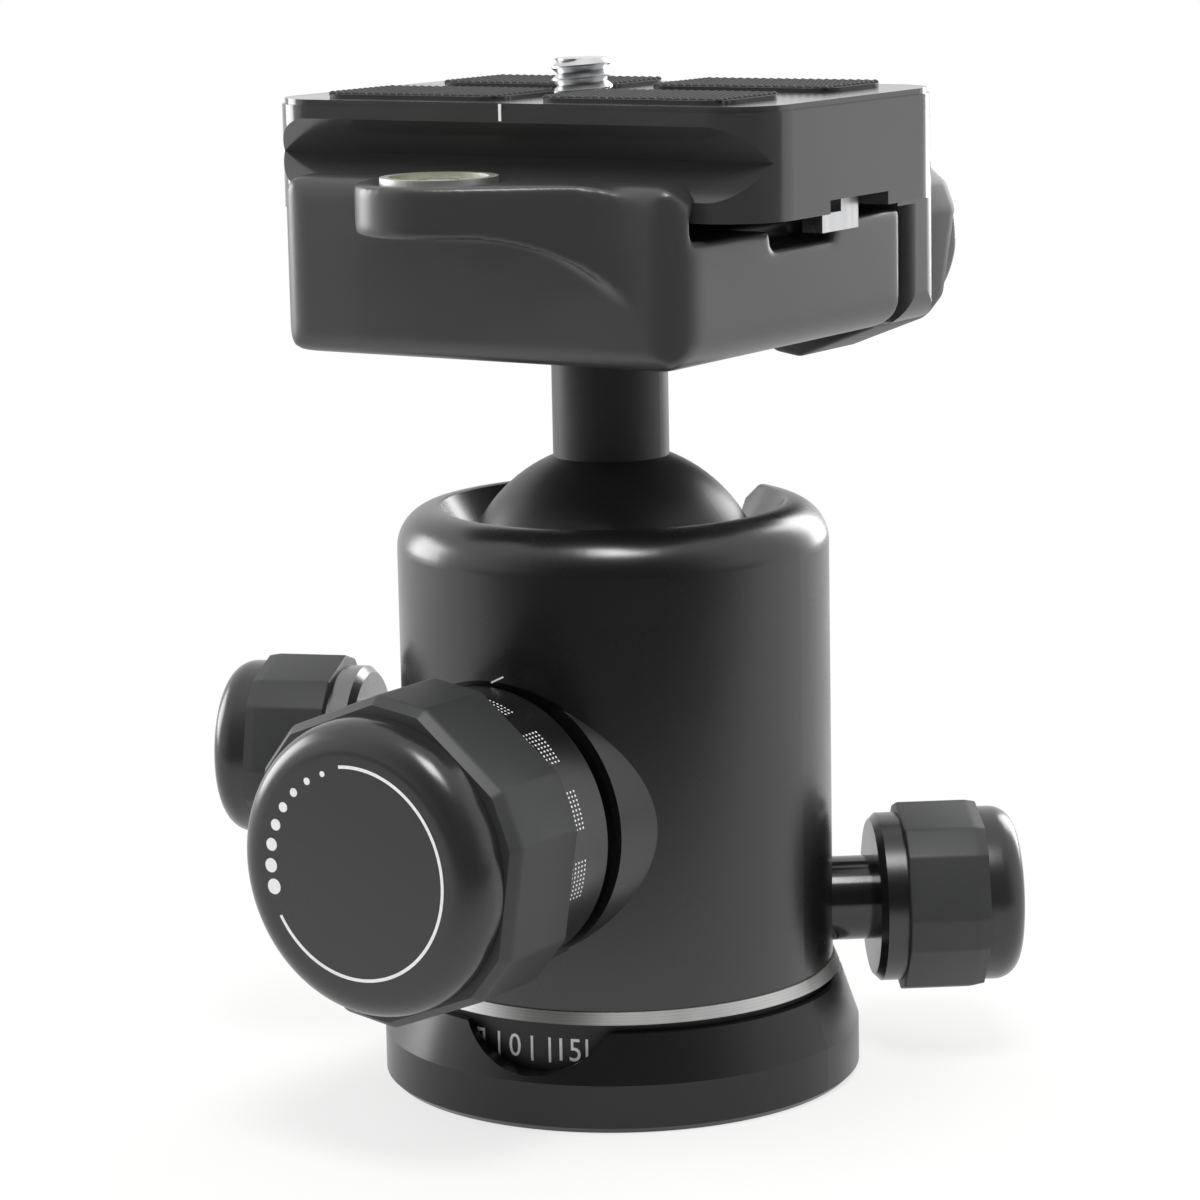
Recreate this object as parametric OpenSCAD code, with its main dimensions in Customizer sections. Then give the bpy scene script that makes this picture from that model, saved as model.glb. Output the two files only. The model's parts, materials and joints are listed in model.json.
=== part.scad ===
// Tripod ball head with a panning base, three locking knobs, a knob clamp and a
// quick-release camera plate. Millimetres, +Z up. The origin is the centre of the
// underside, at the mouth of the tripod thread. The dovetail runs along X, the fixed
// jaw is at -Y, and the moving jaw, its knob and the drop notch are at +Y.

/* [Base] */
// Diameter of the base at its foot
base_d = 50.8; // [50:0.2:60]
// Distance that the base's wall leans in towards its upper rim
base_lean = 1.7; // [0.5:0.05:1.9]
// Height of the straight wall at the foot of the base
base_wall_h = 5.1; // [3:0.1:7]
// Height of the base
base_h = 10.05; // [9:0.05:12]
// Thickness of the floor of the base's scale pocket
base_floor = 4.2; // [3:0.1:5]
// Radius of the round window in front of the degree scale
window_r = 9.3; // [6:0.1:11]
// Height of the window's lowest point
window_sill = 5.7; // [5:0.1:8]
// Direction of the window, seen from above
window_azimuth = -80; // [-120:1:-40]
// Tapping diameter of the 3/8-16 tripod thread
tripod_bore_d = 7.94; // [5.1:0.01:8]
// Depth of the tripod thread
tripod_depth = 12; // [9:0.5:14]
// Outer diameter of the threaded bush
bush_d = 12.5; // [11:0.1:13]

/* [Panning bearing] */
// Diameter of the spindle that the body turns on
spindle_d = 23; // [21:0.5:25]
// Diameter of the shoulder that carries the body
shoulder_d = 28; // [26:0.5:30]
// Height of the gap between the base's rim and the trim ring
ring_gap = 0.85; // [0.5:0.05:1.5]
// Thickness of the bright trim ring
ring_h = 1.2; // [0.8:0.1:2]
// Distance of the trim ring's edge inside the foot of the base
ring_step = 2; // [1.8:0.05:2.4]
// Distance of the degree scale drum inside the foot of the base
drum_step = 2.9; // [2.7:0.05:3.5]
// Thickness of the slip washer under the retainer
washer_h = 1.5; // [1:0.1:2]
// Thickness of the retainer plate
retainer_h = 1.8; // [1.6:0.1:2.2]
// Diameter of the retainer plate
retainer_d = 30; // [28:0.5:33]
// Pitch circle diameter of the retainer screws
retainer_pcd = 18; // [17:0.5:19]

/* [Body] */
// Diameter of the body
body_d = 45.4; // [45:0.1:48]
// Height of the body
body_h = 49; // [48.5:0.1:52]
// Diameter of the crest of the body's rounded rim
crest_d = 36.8; // [35:0.1:39]
// Thickness of the floor that the spindle passes through
body_floor = 10.9; // [10:0.1:11.5]
// Diameter of the ball chamber
chamber_d = 35; // [34.6:0.1:36]
// Diameter of the opening that the ball looks out of
opening_d = 31.8; // [31.2:0.1:33]
// Thickness of the lip around the opening
lip_h = 1.2; // [0.8:0.1:2]
// Width of the drop notch
notch_w = 13.8; // [13:0.1:15]
// Direction of the drop notch, seen from above
notch_azimuth = 90; // [60:1:120]

/* [Ball] */
// Diameter of the ball
ball_d = 32.4; // [32:0.1:33.2]
// Height of the ball's centre above the bottom of the body
ball_rise = 39; // [38.5:0.1:39.5]
// Diameter of the ball's stem
stem_d = 12.2; // [11:0.1:12.6]
// Distance from the ball's centre to the top of the stem
neck_len = 27.2; // [26:0.1:34]
// Gap between the ball and its upper seat
seat_gap = 0.3; // [0.25:0.05:0.5]
// Gap between the ball and the pressure cup when the lock is off
cup_gap = 0.6; // [0.5:0.05:0.8]
// Thickness of the pressure cup under the ball
cup_web = 4.6; // [4:0.1:4.8]
// Radius of the cup's wedge face at the height of the lock screw
wedge_r = 11.4; // [10:0.1:12]

/* [Lock knob] */
// Direction of the ball lock knob, seen from above
lock_azimuth = -91; // [-110:1:-70]
// Height of the ball lock knob's axis
lock_z = 31.1; // [31:0.1:33]
// Diameter of the boss around the lock screw
boss_d = 29.2; // [26:0.1:31]
// Distance from the body's axis to the face of the boss
boss_face = 21.3; // [21:0.1:24]
// Gap between the boss and the knob's collar
collar_gap = 2.2; // [1:0.1:4]
// Diameter of the collar that carries the tension marks
collar_d = 28.8; // [26:0.1:30]
// Visible length of the collar
collar_len = 8.1; // [6:0.1:10]
// Diameter over the corners of the rubber grip
grip_d = 33.6; // [33:0.1:36]
// Length of the rubber grip
grip_len = 10.5; // [7:0.1:13]
// Diameter of the round end cap
cap_d = 29.8; // [28:0.1:30.4]
// Length of the round end cap
cap_len = 4.2; // [3.8:0.1:7]
// Turn of the grip's corners about the knob's axis
lock_clock = 21.5; // [0:0.5:59]

/* [Small knobs] */
// Direction of the panning lock knob, seen from above
pan_azimuth = 37; // [20:1:50]
// Height of the panning lock knob's axis
pan_z = 17.2; // [17:0.1:17.8]
// Turn of the panning knob's corners about its axis
pan_clock = 12; // [0:1:59]
// Direction of the friction knob, seen from above
friction_azimuth = 200; // [190:1:225]
// Height of the friction knob's axis
friction_z = 33.6; // [32:0.1:34]
// Turn of the friction knob's corners about its axis
friction_clock = 47; // [0:1:59]
// Diameter of the bare shaft between the body and the friction knob
neck_d = 10.9; // [9:0.1:11]
// Diameter of the bare shaft between the body and the panning knob
pan_neck_d = 9; // [8:0.1:9.2]
// Distance from the body's axis to a small knob's collar
small_start = 27.05; // [26:0.05:30]
// Diameter of a small knob's collar
small_collar_d = 18; // [16:0.1:19]
// Length of a small knob's collar
small_collar_len = 2.9; // [2:0.1:4]
// Diameter over the corners of a small knob's grip
small_grip_d = 20.2; // [19.5:0.1:21]
// Length of a small knob's grip
small_grip_len = 8.6; // [6:0.1:10]
// Diameter of a small knob's end cap
small_cap_d = 18.6; // [17.6:0.1:19.4]
// Length of a small knob's end cap
small_cap_len = 4; // [3:0.1:5]
// Thread diameter of the lock, panning and friction screws
screw_d = 8; // [6:0.5:8]

/* [Clamp] */
// Distance of the clamp's middle from the stem's axis, along the dovetail
clamp_mid = -0.9; // [-2:0.1:2]
// Length of the clamp along the dovetail
clamp_len = 49; // [44:0.5:54]
// Height of the clamp's block up to its floor
clamp_h = 12.5; // [12:0.1:14]
// Distance from the stem's axis to the front of the fixed jaw
jaw_front = 23.7; // [22.5:0.1:25]
// Distance from the stem's axis to the inner wall of the fixed jaw
jaw_wall = 21; // [20:0.1:21.6]
// Distance from the stem's axis to the rear end of the block
block_rear = 20.4; // [19.8:0.1:22.5]
// Height of the jaws above the clamp's floor
jaw_rise = 5.7; // [5:0.1:6]
// Gap between the block and the moving jaw when clamped
jaw_gap = 1.3; // [1:0.1:2.4]
// Thickness of the moving jaw
jaw_t = 8.4; // [8.2:0.1:12]
// Radius of the clamp's upright front corners
clamp_corner = 3.8; // [2:0.1:5]
// Radius of the jaws' upper corners, seen from the front
jaw_end_round = 3.8; // [2:0.1:4.5]
// Radius of the clamp's lower corners, seen from the front
clamp_foot_round = 3.4; // [1:0.1:4]
// Width of the end pockets that the plate's stops run in
pocket_w = 12.7; // [10:0.1:14]
// Length of the end pockets along the dovetail
pocket_len = 5.5; // [3:0.1:7]
// Depth of the end pockets
pocket_h = 1.9; // [1.2:0.1:2.4]
// Thread diameter of the clamp screw
clamp_screw_d = 5; // [4:0.5:6]
// Distance between the two guide pins
pin_span = 34; // [30:0.5:38]
// Diameter of a guide pin
pin_d = 4; // [3:0.1:4.5]

/* [Clamp knob] */
// Distance from the moving jaw to the clamp knob's collar
clamp_knob_gap = 8; // [6:0.1:14]
// Diameter over the corners of the clamp knob's grip
clamp_grip_d = 26.2; // [25.6:0.1:29]
// Length of the clamp knob's grip
clamp_grip_len = 13.4; // [7:0.1:15]
// Diameter of the clamp knob's collar
clamp_collar_d = 22; // [18:0.1:24]
// Length of the clamp knob's collar
clamp_collar_len = 3.6; // [2:0.1:5]
// Diameter of the clamp knob's end cap
clamp_cap_d = 23.4; // [20:0.1:23.8]
// Length of the clamp knob's end cap
clamp_cap_len = 3; // [2.6:0.1:5]
// Turn of the clamp knob's corners about its axis
clamp_clock = 39; // [0:1:59]

/* [Bubble level] */
// Diameter of the level's bezel
level_d = 11.8; // [9:0.1:12.4]
// Distance of the level from the clamp's middle, along the dovetail
level_x = -3; // [-8:0.1:4]
// Depth of the level's pocket
level_depth = 3.5; // [2.5:0.1:4]
// Height of the bezel above the jaw
level_proud = 0.5; // [0:0.05:0.8]
// Width of the nose around the level's bezel
nose_wall = 2.6; // [1.5:0.1:4]
// Thickness of the nose below the jaw's top
nose_h = 5.2; // [4.6:0.1:8]

/* [Plate] */
// Length of the quick-release plate
plate_len = 60; // [54:0.5:70]
// Width of the quick-release plate
plate_w = 39; // [38:0.1:39.4]
// Height of the quick-release plate
plate_h = 11.2; // [11:0.1:12]
// Radius of the plate's corners
plate_corner = 6.3; // [3:0.1:9]
// Chamfer around the plate's top
plate_chamfer = 0.6; // [0.3:0.1:1]
// Height of the dovetail's narrowest line above the plate's underside
valley_rise = 5.65; // [5.6:0.05:5.9]
// Depth of the dovetail grooves
valley_depth = 3.65; // [3.4:0.05:3.7]
// Gap between the plate's underside and the clamp's floor
plate_gap = 1.8; // [1.7:0.1:2]
// Clearance between the dovetail and the jaws
dovetail_gap = 0.05; // [0.02:0.01:0.2]
// Diameter of the camera screw
camera_screw_d = 6.35; // [6.35:0.01:9.52]
// Distance of the camera screw from the plate's middle
camera_screw_x = -2.7; // [-5:0.1:5]
// Height of the camera screw above the plate
camera_screw_h = 3.5; // [3:0.1:6]
// Length of the slot that the camera screw slides in
screw_slot = 12; // [10:0.5:16]
// Height of the rubber pads above the plate
pad_proud = 0.7; // [0.3:0.1:1.2]
// Width of the space between the pads
pad_space = 4.4; // [3:0.1:6]
// Distance from the pads to the plate's ends
pad_end_margin = 5.8; // [2:0.1:8]
// Distance from the pads to the plate's long edges
pad_side_margin = 3; // [2:0.1:5]
// Width of a plate stop
stop_w = 8.3; // [6:0.1:9]
// Distance from a plate stop's inner face to the plate's end
stop_inset = 4.8; // [4:0.1:5]

/* [Hidden] */
$fn = 64;

// Colours
satin_black = "#33353a";
soft_black = "#26272a";
rubber_black = "#2f3034";
bright_steel = "#c9ccd0";
silver = "#b9bcc1";
brass_tone = "#b89a5e";
polymer_white = "#d9d8d0";
vial_green = "#b7d84a";

// Fits: running clearance on the radius, seat clearance on faces
run_fit = 0.05;
face_fit = 0.05;

// Heights, from the underside up
ring_z = base_h + ring_gap;
body_z = ring_z + ring_h;
floor_top = body_z + body_floor;
retainer_z = floor_top + washer_h;
retainer_top = retainer_z + retainer_h;
ball_z = body_z + ball_rise;
crest_z = body_z + body_h;
ball_r = ball_d / 2;
stem_r = stem_d / 2;
clamp_z = ball_z + neck_len;
clamp_floor = clamp_z + clamp_h;
jaw_top = clamp_floor + jaw_rise;
plate_z = clamp_floor + plate_gap;
plate_top = plate_z + plate_h;
valley_z = plate_z + valley_rise;
valley_y = plate_w / 2 - valley_depth;

// Base
base_rim_d = base_d - 2 * base_lean;
ring_d = base_d - 2 * ring_step;
drum_d = base_d - 2 * drum_step;
pocket_fit = 0.4;
drum_z = base_floor + 0.5;
drum_bore_r = shoulder_d / 2 + 0.3;
base_edge = 0.6;
relief_h = 0.8;
relief_in = bush_d / 2 + 3.5;
relief_out = base_d / 2 - 3.4;
pan_groove = 0.6;
retainer_hole_r = 1.5;
retainer_screw_len = 8;
countersink_r = 2.9;
drum_screw_r = 1.25;
drum_screw_head_r = 2.4;
drum_screw_len = 12;
drum_pcd = (shoulder_d + drum_d) / 2;

// Body
chamber_r = chamber_d / 2;
lip_z = seat_top_z();
boss_flare = 2.2;
boss_recess = 1;
boss_rim = 0.9;
notch_edge = 1.5;
screw_r = screw_d / 2;
neck_fit = 0.3;
counterbore_depth = 1;

// Pressure cup
cup_r = chamber_r - 0.1;
cup_bottom = ball_z - ball_r - cup_gap - cup_web;
cup_top = ball_z - ball_r * 0.58;
wedge_gap = 0.45;
plunger_nose = 10;
plunger_tail = chamber_r + 2;
tail_gap = 0.1;
pan_shoe_tail = spindle_d / 2 + 4.5;
spring_t = 0.5;

// Lock knob, as distances from the body's axis
collar_start = boss_face + collar_gap;
grip_start = collar_start + collar_len;
cap_start = grip_start + grip_len;
lock_end = cap_start + cap_len;
collar_core_r = collar_d / 2 - 2;
hub_r = boss_d / 2 - boss_rim - 1.6;
shaft_r = 5;
small_grip_start = small_start + small_collar_len;
small_cap_start = small_grip_start + small_grip_len;
small_core_r = small_collar_d / 2 - 2;
core_shaft_r = 3.5;
knob_screw_r = 2;
knob_screw_head_r = 3.5;
knob_screw_head_h = 2.6;

// Clamp
clamp_axis_z = clamp_z + clamp_h / 2;
jaw_lip_y = valley_y + (valley_z - jaw_top);
jaw_knee_z = valley_z - valley_depth;
jaw_wall_y = plate_w / 2 + dovetail_gap * 1.5;
jaw_inner = block_rear + jaw_gap;
jaw_outer = jaw_inner + jaw_t;
edge_round = 2;
spigot_r = stem_r - 1.6;
spigot_h = 3.3;
bolt_r = 3;
bolt_head_r = 5;
bolt_head_h = 6;
bolt_washer_r = 5.7;
bolt_washer_h = 1;
bolt_pocket_r = 6.2;
bolt_seat = 17;
pin_seat = 11;
pin_free = 6.5;
spring_wire = 0.35;
spring_r = pin_d / 2 + 0.35 + spring_wire;
spring_pocket = 6;
screw_reach = 11;
level_r = level_d / 2;
level_y = -(plate_w / 2 + level_r + 0.3);
level_z = jaw_top - level_depth;
nose_r = level_r + nose_wall;
nose_top = jaw_top;
nose_drop = 7.9;
nose_end = 19.5;
nose_fade = 9;
jaw_washer_h = 1;

// Clamp knob, as distances along Y
clamp_collar_y = jaw_outer + clamp_knob_gap;
clamp_grip_y = clamp_collar_y + clamp_collar_len;
clamp_cap_y = clamp_grip_y + clamp_grip_len;
clamp_end_y = clamp_cap_y + clamp_cap_len;
clamp_neck_r = 6;
clamp_core_r = clamp_collar_d / 2 - 2.3;

// Plate
slot_h = 1.35;
slot_w = stop_w + 3.5;
slot_len = stop_inset + 6.5;
stop_t = 2.3;
stop_drop = 2.2;
stop_leg = 5.8;
stop_tongue = 3.5;
stop_screw_r = 1.25;
stop_screw_len = 5;
stop_screw_head_r = 2.1;
recess_h = 4;
recess_r = 8.6;
camera_head_r = 7.6;
camera_head_h = 3;
camera_r = camera_screw_d / 2;
camera_neck_r = camera_r - 0.7;
clip_r = camera_r + 0.8;
clip_h = 0.6;
clip_pocket_h = 0.9;
pad_sink = 0.8;
pad_round = 2.6;

// ---------------------------------------------------------------- helpers

// Height of the top of the ball's upper seat: where the seat's bore meets the lip
function seat_top_z() = ball_z + sqrt(pow(ball_r + seat_gap, 2) - pow(opening_d / 2 - 0.3, 2));

// Points along an arc
function arc(c, r, from, to, n = 8) =
  [for (i = [0:n]) let (a = from + (to - from) * i / n) [c[0] + r * cos(a), c[1] + r * sin(a)]];

// Places children on a knob axis: their +X points away from the body's axis
module on_axis(azimuth, z) {
  rotate([0, 0, azimuth]) translate([0, 0, z]) children();
}

// Cylinder along +X from x0 to x1
module rod(x0, x1, r) {
  translate([x0, 0, 0]) rotate([0, 90, 0]) cylinder(h = x1 - x0, r = r);
}

// Cone along +X from x0 to x1
module taper(x0, x1, r0, r1) {
  translate([x0, 0, 0]) rotate([0, 90, 0]) cylinder(h = x1 - x0, r1 = r0, r2 = r1);
}

// Round cap along +X with a rounded outer edge
module cap_form(x0, x1, r, edge) {
  h = x1 - x0;
  translate([x0, 0, 0]) rotate([0, 90, 0]) rotate_extrude() {
    square([r - edge, h]);
    square([r, h - edge]);
    intersection() {
      translate([r - edge, h - edge]) circle(r = edge);
      translate([r - edge, h - edge]) square([edge + 1, edge + 1]);
    }
  }
}

// Grip outline: a hexagon with cut corners, each as wide as twice the half_flat angle
module grip_outline(r, clock, half_flat) {
  polygon([for (i = [0:5]) for (s = [-1, 1]) let (a = clock + 60 * i + s * half_flat)
    [r * cos(a), r * sin(a)]]);
}

// Grip along +X, with a tapered front end that leads to a cap of radius front_r.
// The outline's angles run from +Y towards +Z.
module grip_form(x0, x1, r, front_r, bore_r, clock, half_flat) {
  lead = 1.1;
  inside = r * cos(30 - half_flat) - 0.1;
  difference() {
    union() {
      rotate([90, 0, 90]) translate([0, 0, x0]) linear_extrude(x1 - x0 - lead)
        grip_outline(r, clock, half_flat);
      taper(x1 - lead - 0.01, x1, inside, min(front_r + 0.1, inside));
    }
    rod(x0 - 1, x1 + 1, bore_r);
  }
}

// Rounded rectangle, centred
module soft_rect(w, l, r) {
  square([w - 2 * r, l], center = true);
  square([w, l - 2 * r], center = true);
  for (x = [-1, 1]) for (y = [-1, 1])
    translate([x * (w / 2 - r), y * (l / 2 - r)]) circle(r = r);
}

// Extrudes a profile drawn in Y and Z along X, centred
module along_x(len) {
  rotate([90, 0, 90]) translate([0, 0, -len / 2]) linear_extrude(len) children();
}

// Extrudes a profile drawn in X and Z along Y, from y0 to y1
module along_y(y0, y1) {
  translate([0, y1, 0]) rotate([90, 0, 0]) linear_extrude(y1 - y0) children();
}

// Wedge face of the pressure cup as a solid cone, grown by a gap
module wedge_cone(gap) {
  grow = gap * sqrt(2);
  low = cup_bottom - wedge_r / 4;
  high = ball_z;
  translate([0, 0, low])
    cylinder(h = high - low, r1 = wedge_r + low - lock_z + grow,
      r2 = wedge_r + high - lock_z + grow);
}

// Screw thread's plain bore in the body, and the counterbore at its mouth
module screw_bore() {
  rod(spindle_d / 2 - 2, body_d / 2 + 2, screw_r + run_fit);
}

// ------------------------------------------------------------ base and bearing

module pan_base() {
  r = base_d / 2;
  pocket_r = drum_d / 2 + pocket_fit;
  color(satin_black) difference() {
    rotate_extrude() polygon([
      [0, 0], [r - base_edge, 0], [r, base_edge], [r, base_wall_h],
      [base_rim_d / 2, base_h], [pocket_r, base_h], [pocket_r, base_floor],
      [shoulder_d / 2, base_floor], [shoulder_d / 2, body_z - face_fit],
      [spindle_d / 2, body_z - face_fit], [spindle_d / 2, pan_z - screw_r - pan_groove],
      [spindle_d / 2 - pan_groove, pan_z - screw_r],
      [spindle_d / 2 - pan_groove, pan_z + screw_r],
      [spindle_d / 2, pan_z + screw_r + pan_groove], [spindle_d / 2, retainer_z],
      [0, retainer_z]]);
    // tripod bush
    translate([0, 0, -1]) cylinder(h = tripod_depth + 1, r = bush_d / 2);
    // shallow relief under the base
    translate([0, 0, -1]) rotate_extrude()
      translate([relief_in, 0]) square([relief_out - relief_in, 1 + relief_h]);
    // window in front of the scale
    rotate([0, 0, window_azimuth]) translate([0, 0, window_sill + window_r])
      rod(shoulder_d / 2 + 2, r + 1, window_r);
    // retainer screws
    for (i = [0:2]) rotate([0, 0, 120 * i]) translate([retainer_pcd / 2, 0, 0])
      translate([0, 0, retainer_top - retainer_screw_len])
        cylinder(h = retainer_screw_len, r = retainer_hole_r, $fn = 24);
  }
}

module thread_bush() {
  color(brass_tone) difference() {
    cylinder(h = tripod_depth, r = bush_d / 2);
    translate([0, 0, -1]) cylinder(h = tripod_depth + 2, r = tripod_bore_d / 2);
  }
}

module countersunk_screw(top, len, shank_r, head_r) {
  head_h = head_r - shank_r;
  translate([0, 0, top - len]) cylinder(h = len - head_h, r = shank_r, $fn = 24);
  translate([0, 0, top - head_h]) cylinder(h = head_h, r1 = shank_r, r2 = head_r, $fn = 24);
}

module retainer_screws() {
  color(bright_steel) for (i = [0:2]) rotate([0, 0, 120 * i])
    translate([retainer_pcd / 2, 0, 0]) difference() {
      countersunk_screw(retainer_top, retainer_screw_len, retainer_hole_r, countersink_r);
      translate([0, 0, retainer_top - 0.9]) cylinder(h = 1, r = 1, $fn = 6);
    }
}

module retainer_plate() {
  color(silver) difference() {
    translate([0, 0, retainer_z]) cylinder(h = retainer_h, r = retainer_d / 2);
    for (i = [0:2]) rotate([0, 0, 120 * i]) translate([retainer_pcd / 2, 0, 0])
      countersunk_screw(retainer_top, retainer_screw_len, retainer_hole_r, countersink_r);
    translate([0, 0, retainer_z - 1]) cylinder(h = retainer_h + 2, r = 3);
  }
}

module slip_washer() {
  color(polymer_white) difference() {
    translate([0, 0, floor_top]) cylinder(h = washer_h - face_fit, r = retainer_d / 2 - 0.4);
    translate([0, 0, floor_top - 1]) cylinder(h = washer_h + 2, r = spindle_d / 2 + 0.3);
  }
}

module drum_holes() {
  for (i = [0:2]) rotate([0, 0, 120 * i + 20]) translate([drum_pcd / 2, 0, drum_z])
    mirror([0, 0, 1]) countersunk_screw(0, drum_screw_len, drum_screw_r, drum_screw_head_r);
}

module trim_ring() {
  color(silver) difference() {
    translate([0, 0, ring_z]) cylinder(h = ring_h, r1 = ring_d / 2, r2 = body_d / 2 + 0.2);
    translate([0, 0, ring_z - 1]) cylinder(h = ring_h + 2, r = drum_bore_r);
    drum_holes();
  }
}

module degree_drum() {
  color(soft_black) difference() {
    translate([0, 0, drum_z]) cylinder(h = ring_z - drum_z, r = drum_d / 2);
    translate([0, 0, drum_z - 1]) cylinder(h = ring_z - drum_z + 2, r = drum_bore_r);
    drum_holes();
  }
}

module drum_screws() {
  color(bright_steel) drum_holes();
}

// ------------------------------------------------------------------------ body

// Outer form: straight wall and a rounded rim that turns in to the crest
module body_outline() {
  r = body_d / 2;
  crest_r = crest_d / 2;
  round_r = r - crest_r;
  polygon([[0, body_z], [r, body_z], [r, crest_z - round_r], [crest_r, crest_z - round_r],
    [crest_r, crest_z], [crest_r - 0.3, crest_z - 0.1], [opening_d / 2, lip_z + lip_h],
    [opening_d / 2, lip_z], [0, lip_z]]);
  intersection() {
    translate([crest_r, crest_z - round_r]) circle(r = round_r);
    translate([crest_r - 0.01, crest_z - round_r - 0.01]) square([round_r + 1, round_r + 1]);
  }
}

module drop_notch(w) {
  bottom = ball_z - stem_r - 0.5;
  rotate([0, 0, notch_azimuth]) {
    translate([0, -w / 2, bottom + w / 2]) cube([body_d, w, crest_z]);
    translate([0, 0, bottom + w / 2]) rod(0, body_d, w / 2);
    // broken edges at the rim
    rotate([90, 0, 90]) linear_extrude(body_d) polygon([
      [-w / 2 - notch_edge, crest_z + 0.1], [-w / 2 + 0.01, crest_z - notch_edge],
      [w / 2 - 0.01, crest_z - notch_edge], [w / 2 + notch_edge, crest_z + 0.1]]);
  }
}

module body_shell() {
  color(satin_black) difference() {
    union() {
      rotate_extrude() body_outline();
      on_axis(lock_azimuth, lock_z)
        taper(chamber_r - 6, boss_face, boss_d / 2 + boss_flare, boss_d / 2);
    }
    // spindle bore and ball chamber
    translate([0, 0, body_z - 1]) cylinder(h = body_floor + 2, r = spindle_d / 2 + run_fit);
    translate([0, 0, floor_top]) cylinder(h = lip_z - floor_top, r = chamber_r);
    // flat face and recess of the boss, and the three screw bores
    on_axis(lock_azimuth, lock_z) {
      rod(boss_face, body_d, boss_d / 2 + 0.2);
      rod(boss_face - boss_recess, boss_face + 5, boss_d / 2 - boss_rim);
      screw_bore();
    }
    on_axis(pan_azimuth, pan_z) {
      screw_bore();
      rod(body_d / 2 - counterbore_depth, body_d, pan_neck_d / 2 + neck_fit);
    }
    on_axis(friction_azimuth, friction_z) {
      screw_bore();
      rod(body_d / 2 - counterbore_depth, body_d, neck_d / 2 + neck_fit);
    }
    drop_notch(notch_w);
    drum_holes();
  }
}

module ball_seat() {
  depth = 7.5;
  color(polymer_white) difference() {
    translate([0, 0, lip_z - depth]) cylinder(h = depth, r = chamber_r);
    translate([0, 0, ball_z]) sphere(r = ball_r + seat_gap);
    drop_notch(notch_w + 0.4);
  }
}

// Two disc springs, face to face, between the retainer and the cup
module cup_springs() {
  space = cup_bottom - retainer_top;
  rise = (space - 2 * spring_t) / 2 - 0.15;
  color(bright_steel) for (side = [0, 1])
    translate([0, 0, retainer_top + 0.15 + side * (space - 0.3)]) mirror([0, 0, side])
      rotate_extrude() polygon([[8.5, 0], [8.5, spring_t], [4.5, spring_t + rise], [4.5, rise]]);
}

module pressure_cup() {
  color(polymer_white) difference() {
    intersection() {
      translate([0, 0, cup_bottom]) cylinder(h = cup_top - cup_bottom, r = cup_r);
      wedge_cone(0);
    }
    translate([0, 0, ball_z]) sphere(r = ball_r + cup_gap);
  }
}

// Pushes on the cup's wedge face; its nose is cut parallel to that face
module wedge_plunger() {
  color(bright_steel) difference() {
    on_axis(lock_azimuth, lock_z) rod(plunger_nose, plunger_tail, screw_r);
    wedge_cone(wedge_gap);
  }
}

module friction_plunger() {
  color(bright_steel) difference() {
    on_axis(friction_azimuth, friction_z) rod(plunger_nose, plunger_tail, screw_r);
    wedge_cone(wedge_gap);
  }
}

// ------------------------------------------------------------------- lock knob

module lock_shaft() {
  color(bright_steel) on_axis(lock_azimuth, lock_z) difference() {
    union() {
      rod(plunger_tail + tail_gap, boss_face + 0.6, screw_r);
      rod(boss_face + 0.6, cap_start - 3.2, shaft_r);
    }
    rod(cap_start - 9, cap_start, knob_screw_r);
  }
}

module lock_collar() {
  color(satin_black) on_axis(lock_azimuth, lock_z) difference() {
    union() {
      rod(boss_face - boss_recess + 0.3, collar_start, hub_r);
      rod(collar_start, grip_start, collar_d / 2);
      rod(grip_start, cap_start, collar_core_r);
    }
    rod(boss_face - boss_recess, boss_face + 0.6, screw_r + 0.5);
    rod(boss_face + 0.5, cap_start - 3.2, shaft_r);
    rod(cap_start - 3.3, cap_start + 1, knob_screw_r);
    rod(cap_start - knob_screw_head_h, cap_start + 1, knob_screw_head_r);
  }
}

module lock_grip() {
  color(rubber_black) on_axis(lock_azimuth, lock_z)
    grip_form(grip_start, cap_start, grip_d / 2, cap_d / 2, collar_core_r, lock_clock, 10);
}

module lock_cap() {
  color(soft_black) on_axis(lock_azimuth, lock_z)
    cap_form(cap_start, lock_end, cap_d / 2, cap_len * 0.62);
}

module knob_screw(end, len) {
  difference() {
    union() {
      rod(end - len, end - knob_screw_head_h, knob_screw_r);
      rod(end - knob_screw_head_h, end, knob_screw_head_r);
    }
    translate([end - 1.6, 0, 0]) rotate([0, 90, 0]) cylinder(h = 2, r = 1.7, $fn = 6);
  }
}

module lock_knob_screw() {
  color(bright_steel) on_axis(lock_azimuth, lock_z) knob_screw(cap_start, 9);
}

// ----------------------------------------------------------------- small knobs

// Threaded shaft with the bare neck that shows between the body and the knob
module small_shaft(from, neck_r) {
  rod(from, body_d / 2 - counterbore_depth, screw_r);
  rod(body_d / 2 - counterbore_depth + 0.05, small_start, neck_r);
  rod(body_d / 2 - counterbore_depth, body_d / 2 - counterbore_depth + 0.05, screw_r);
  rod(small_start, small_cap_start - 1, core_shaft_r);
}

module small_collar() {
  edge = 0.7;
  difference() {
    union() {
      taper(small_start, small_start + edge, small_collar_d / 2 - edge, small_collar_d / 2);
      rod(small_start + edge, small_grip_start, small_collar_d / 2);
      rod(small_grip_start, small_cap_start, small_core_r);
    }
    rod(small_start - 1, small_cap_start - 1, core_shaft_r);
  }
}

module small_grip(clock) {
  grip_form(small_grip_start, small_cap_start, small_grip_d / 2, small_cap_d / 2,
    small_core_r, clock, 10);
}

module small_cap() {
  cap_form(small_cap_start, small_cap_start + small_cap_len, small_cap_d / 2,
    small_cap_len * 0.7);
}

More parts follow.
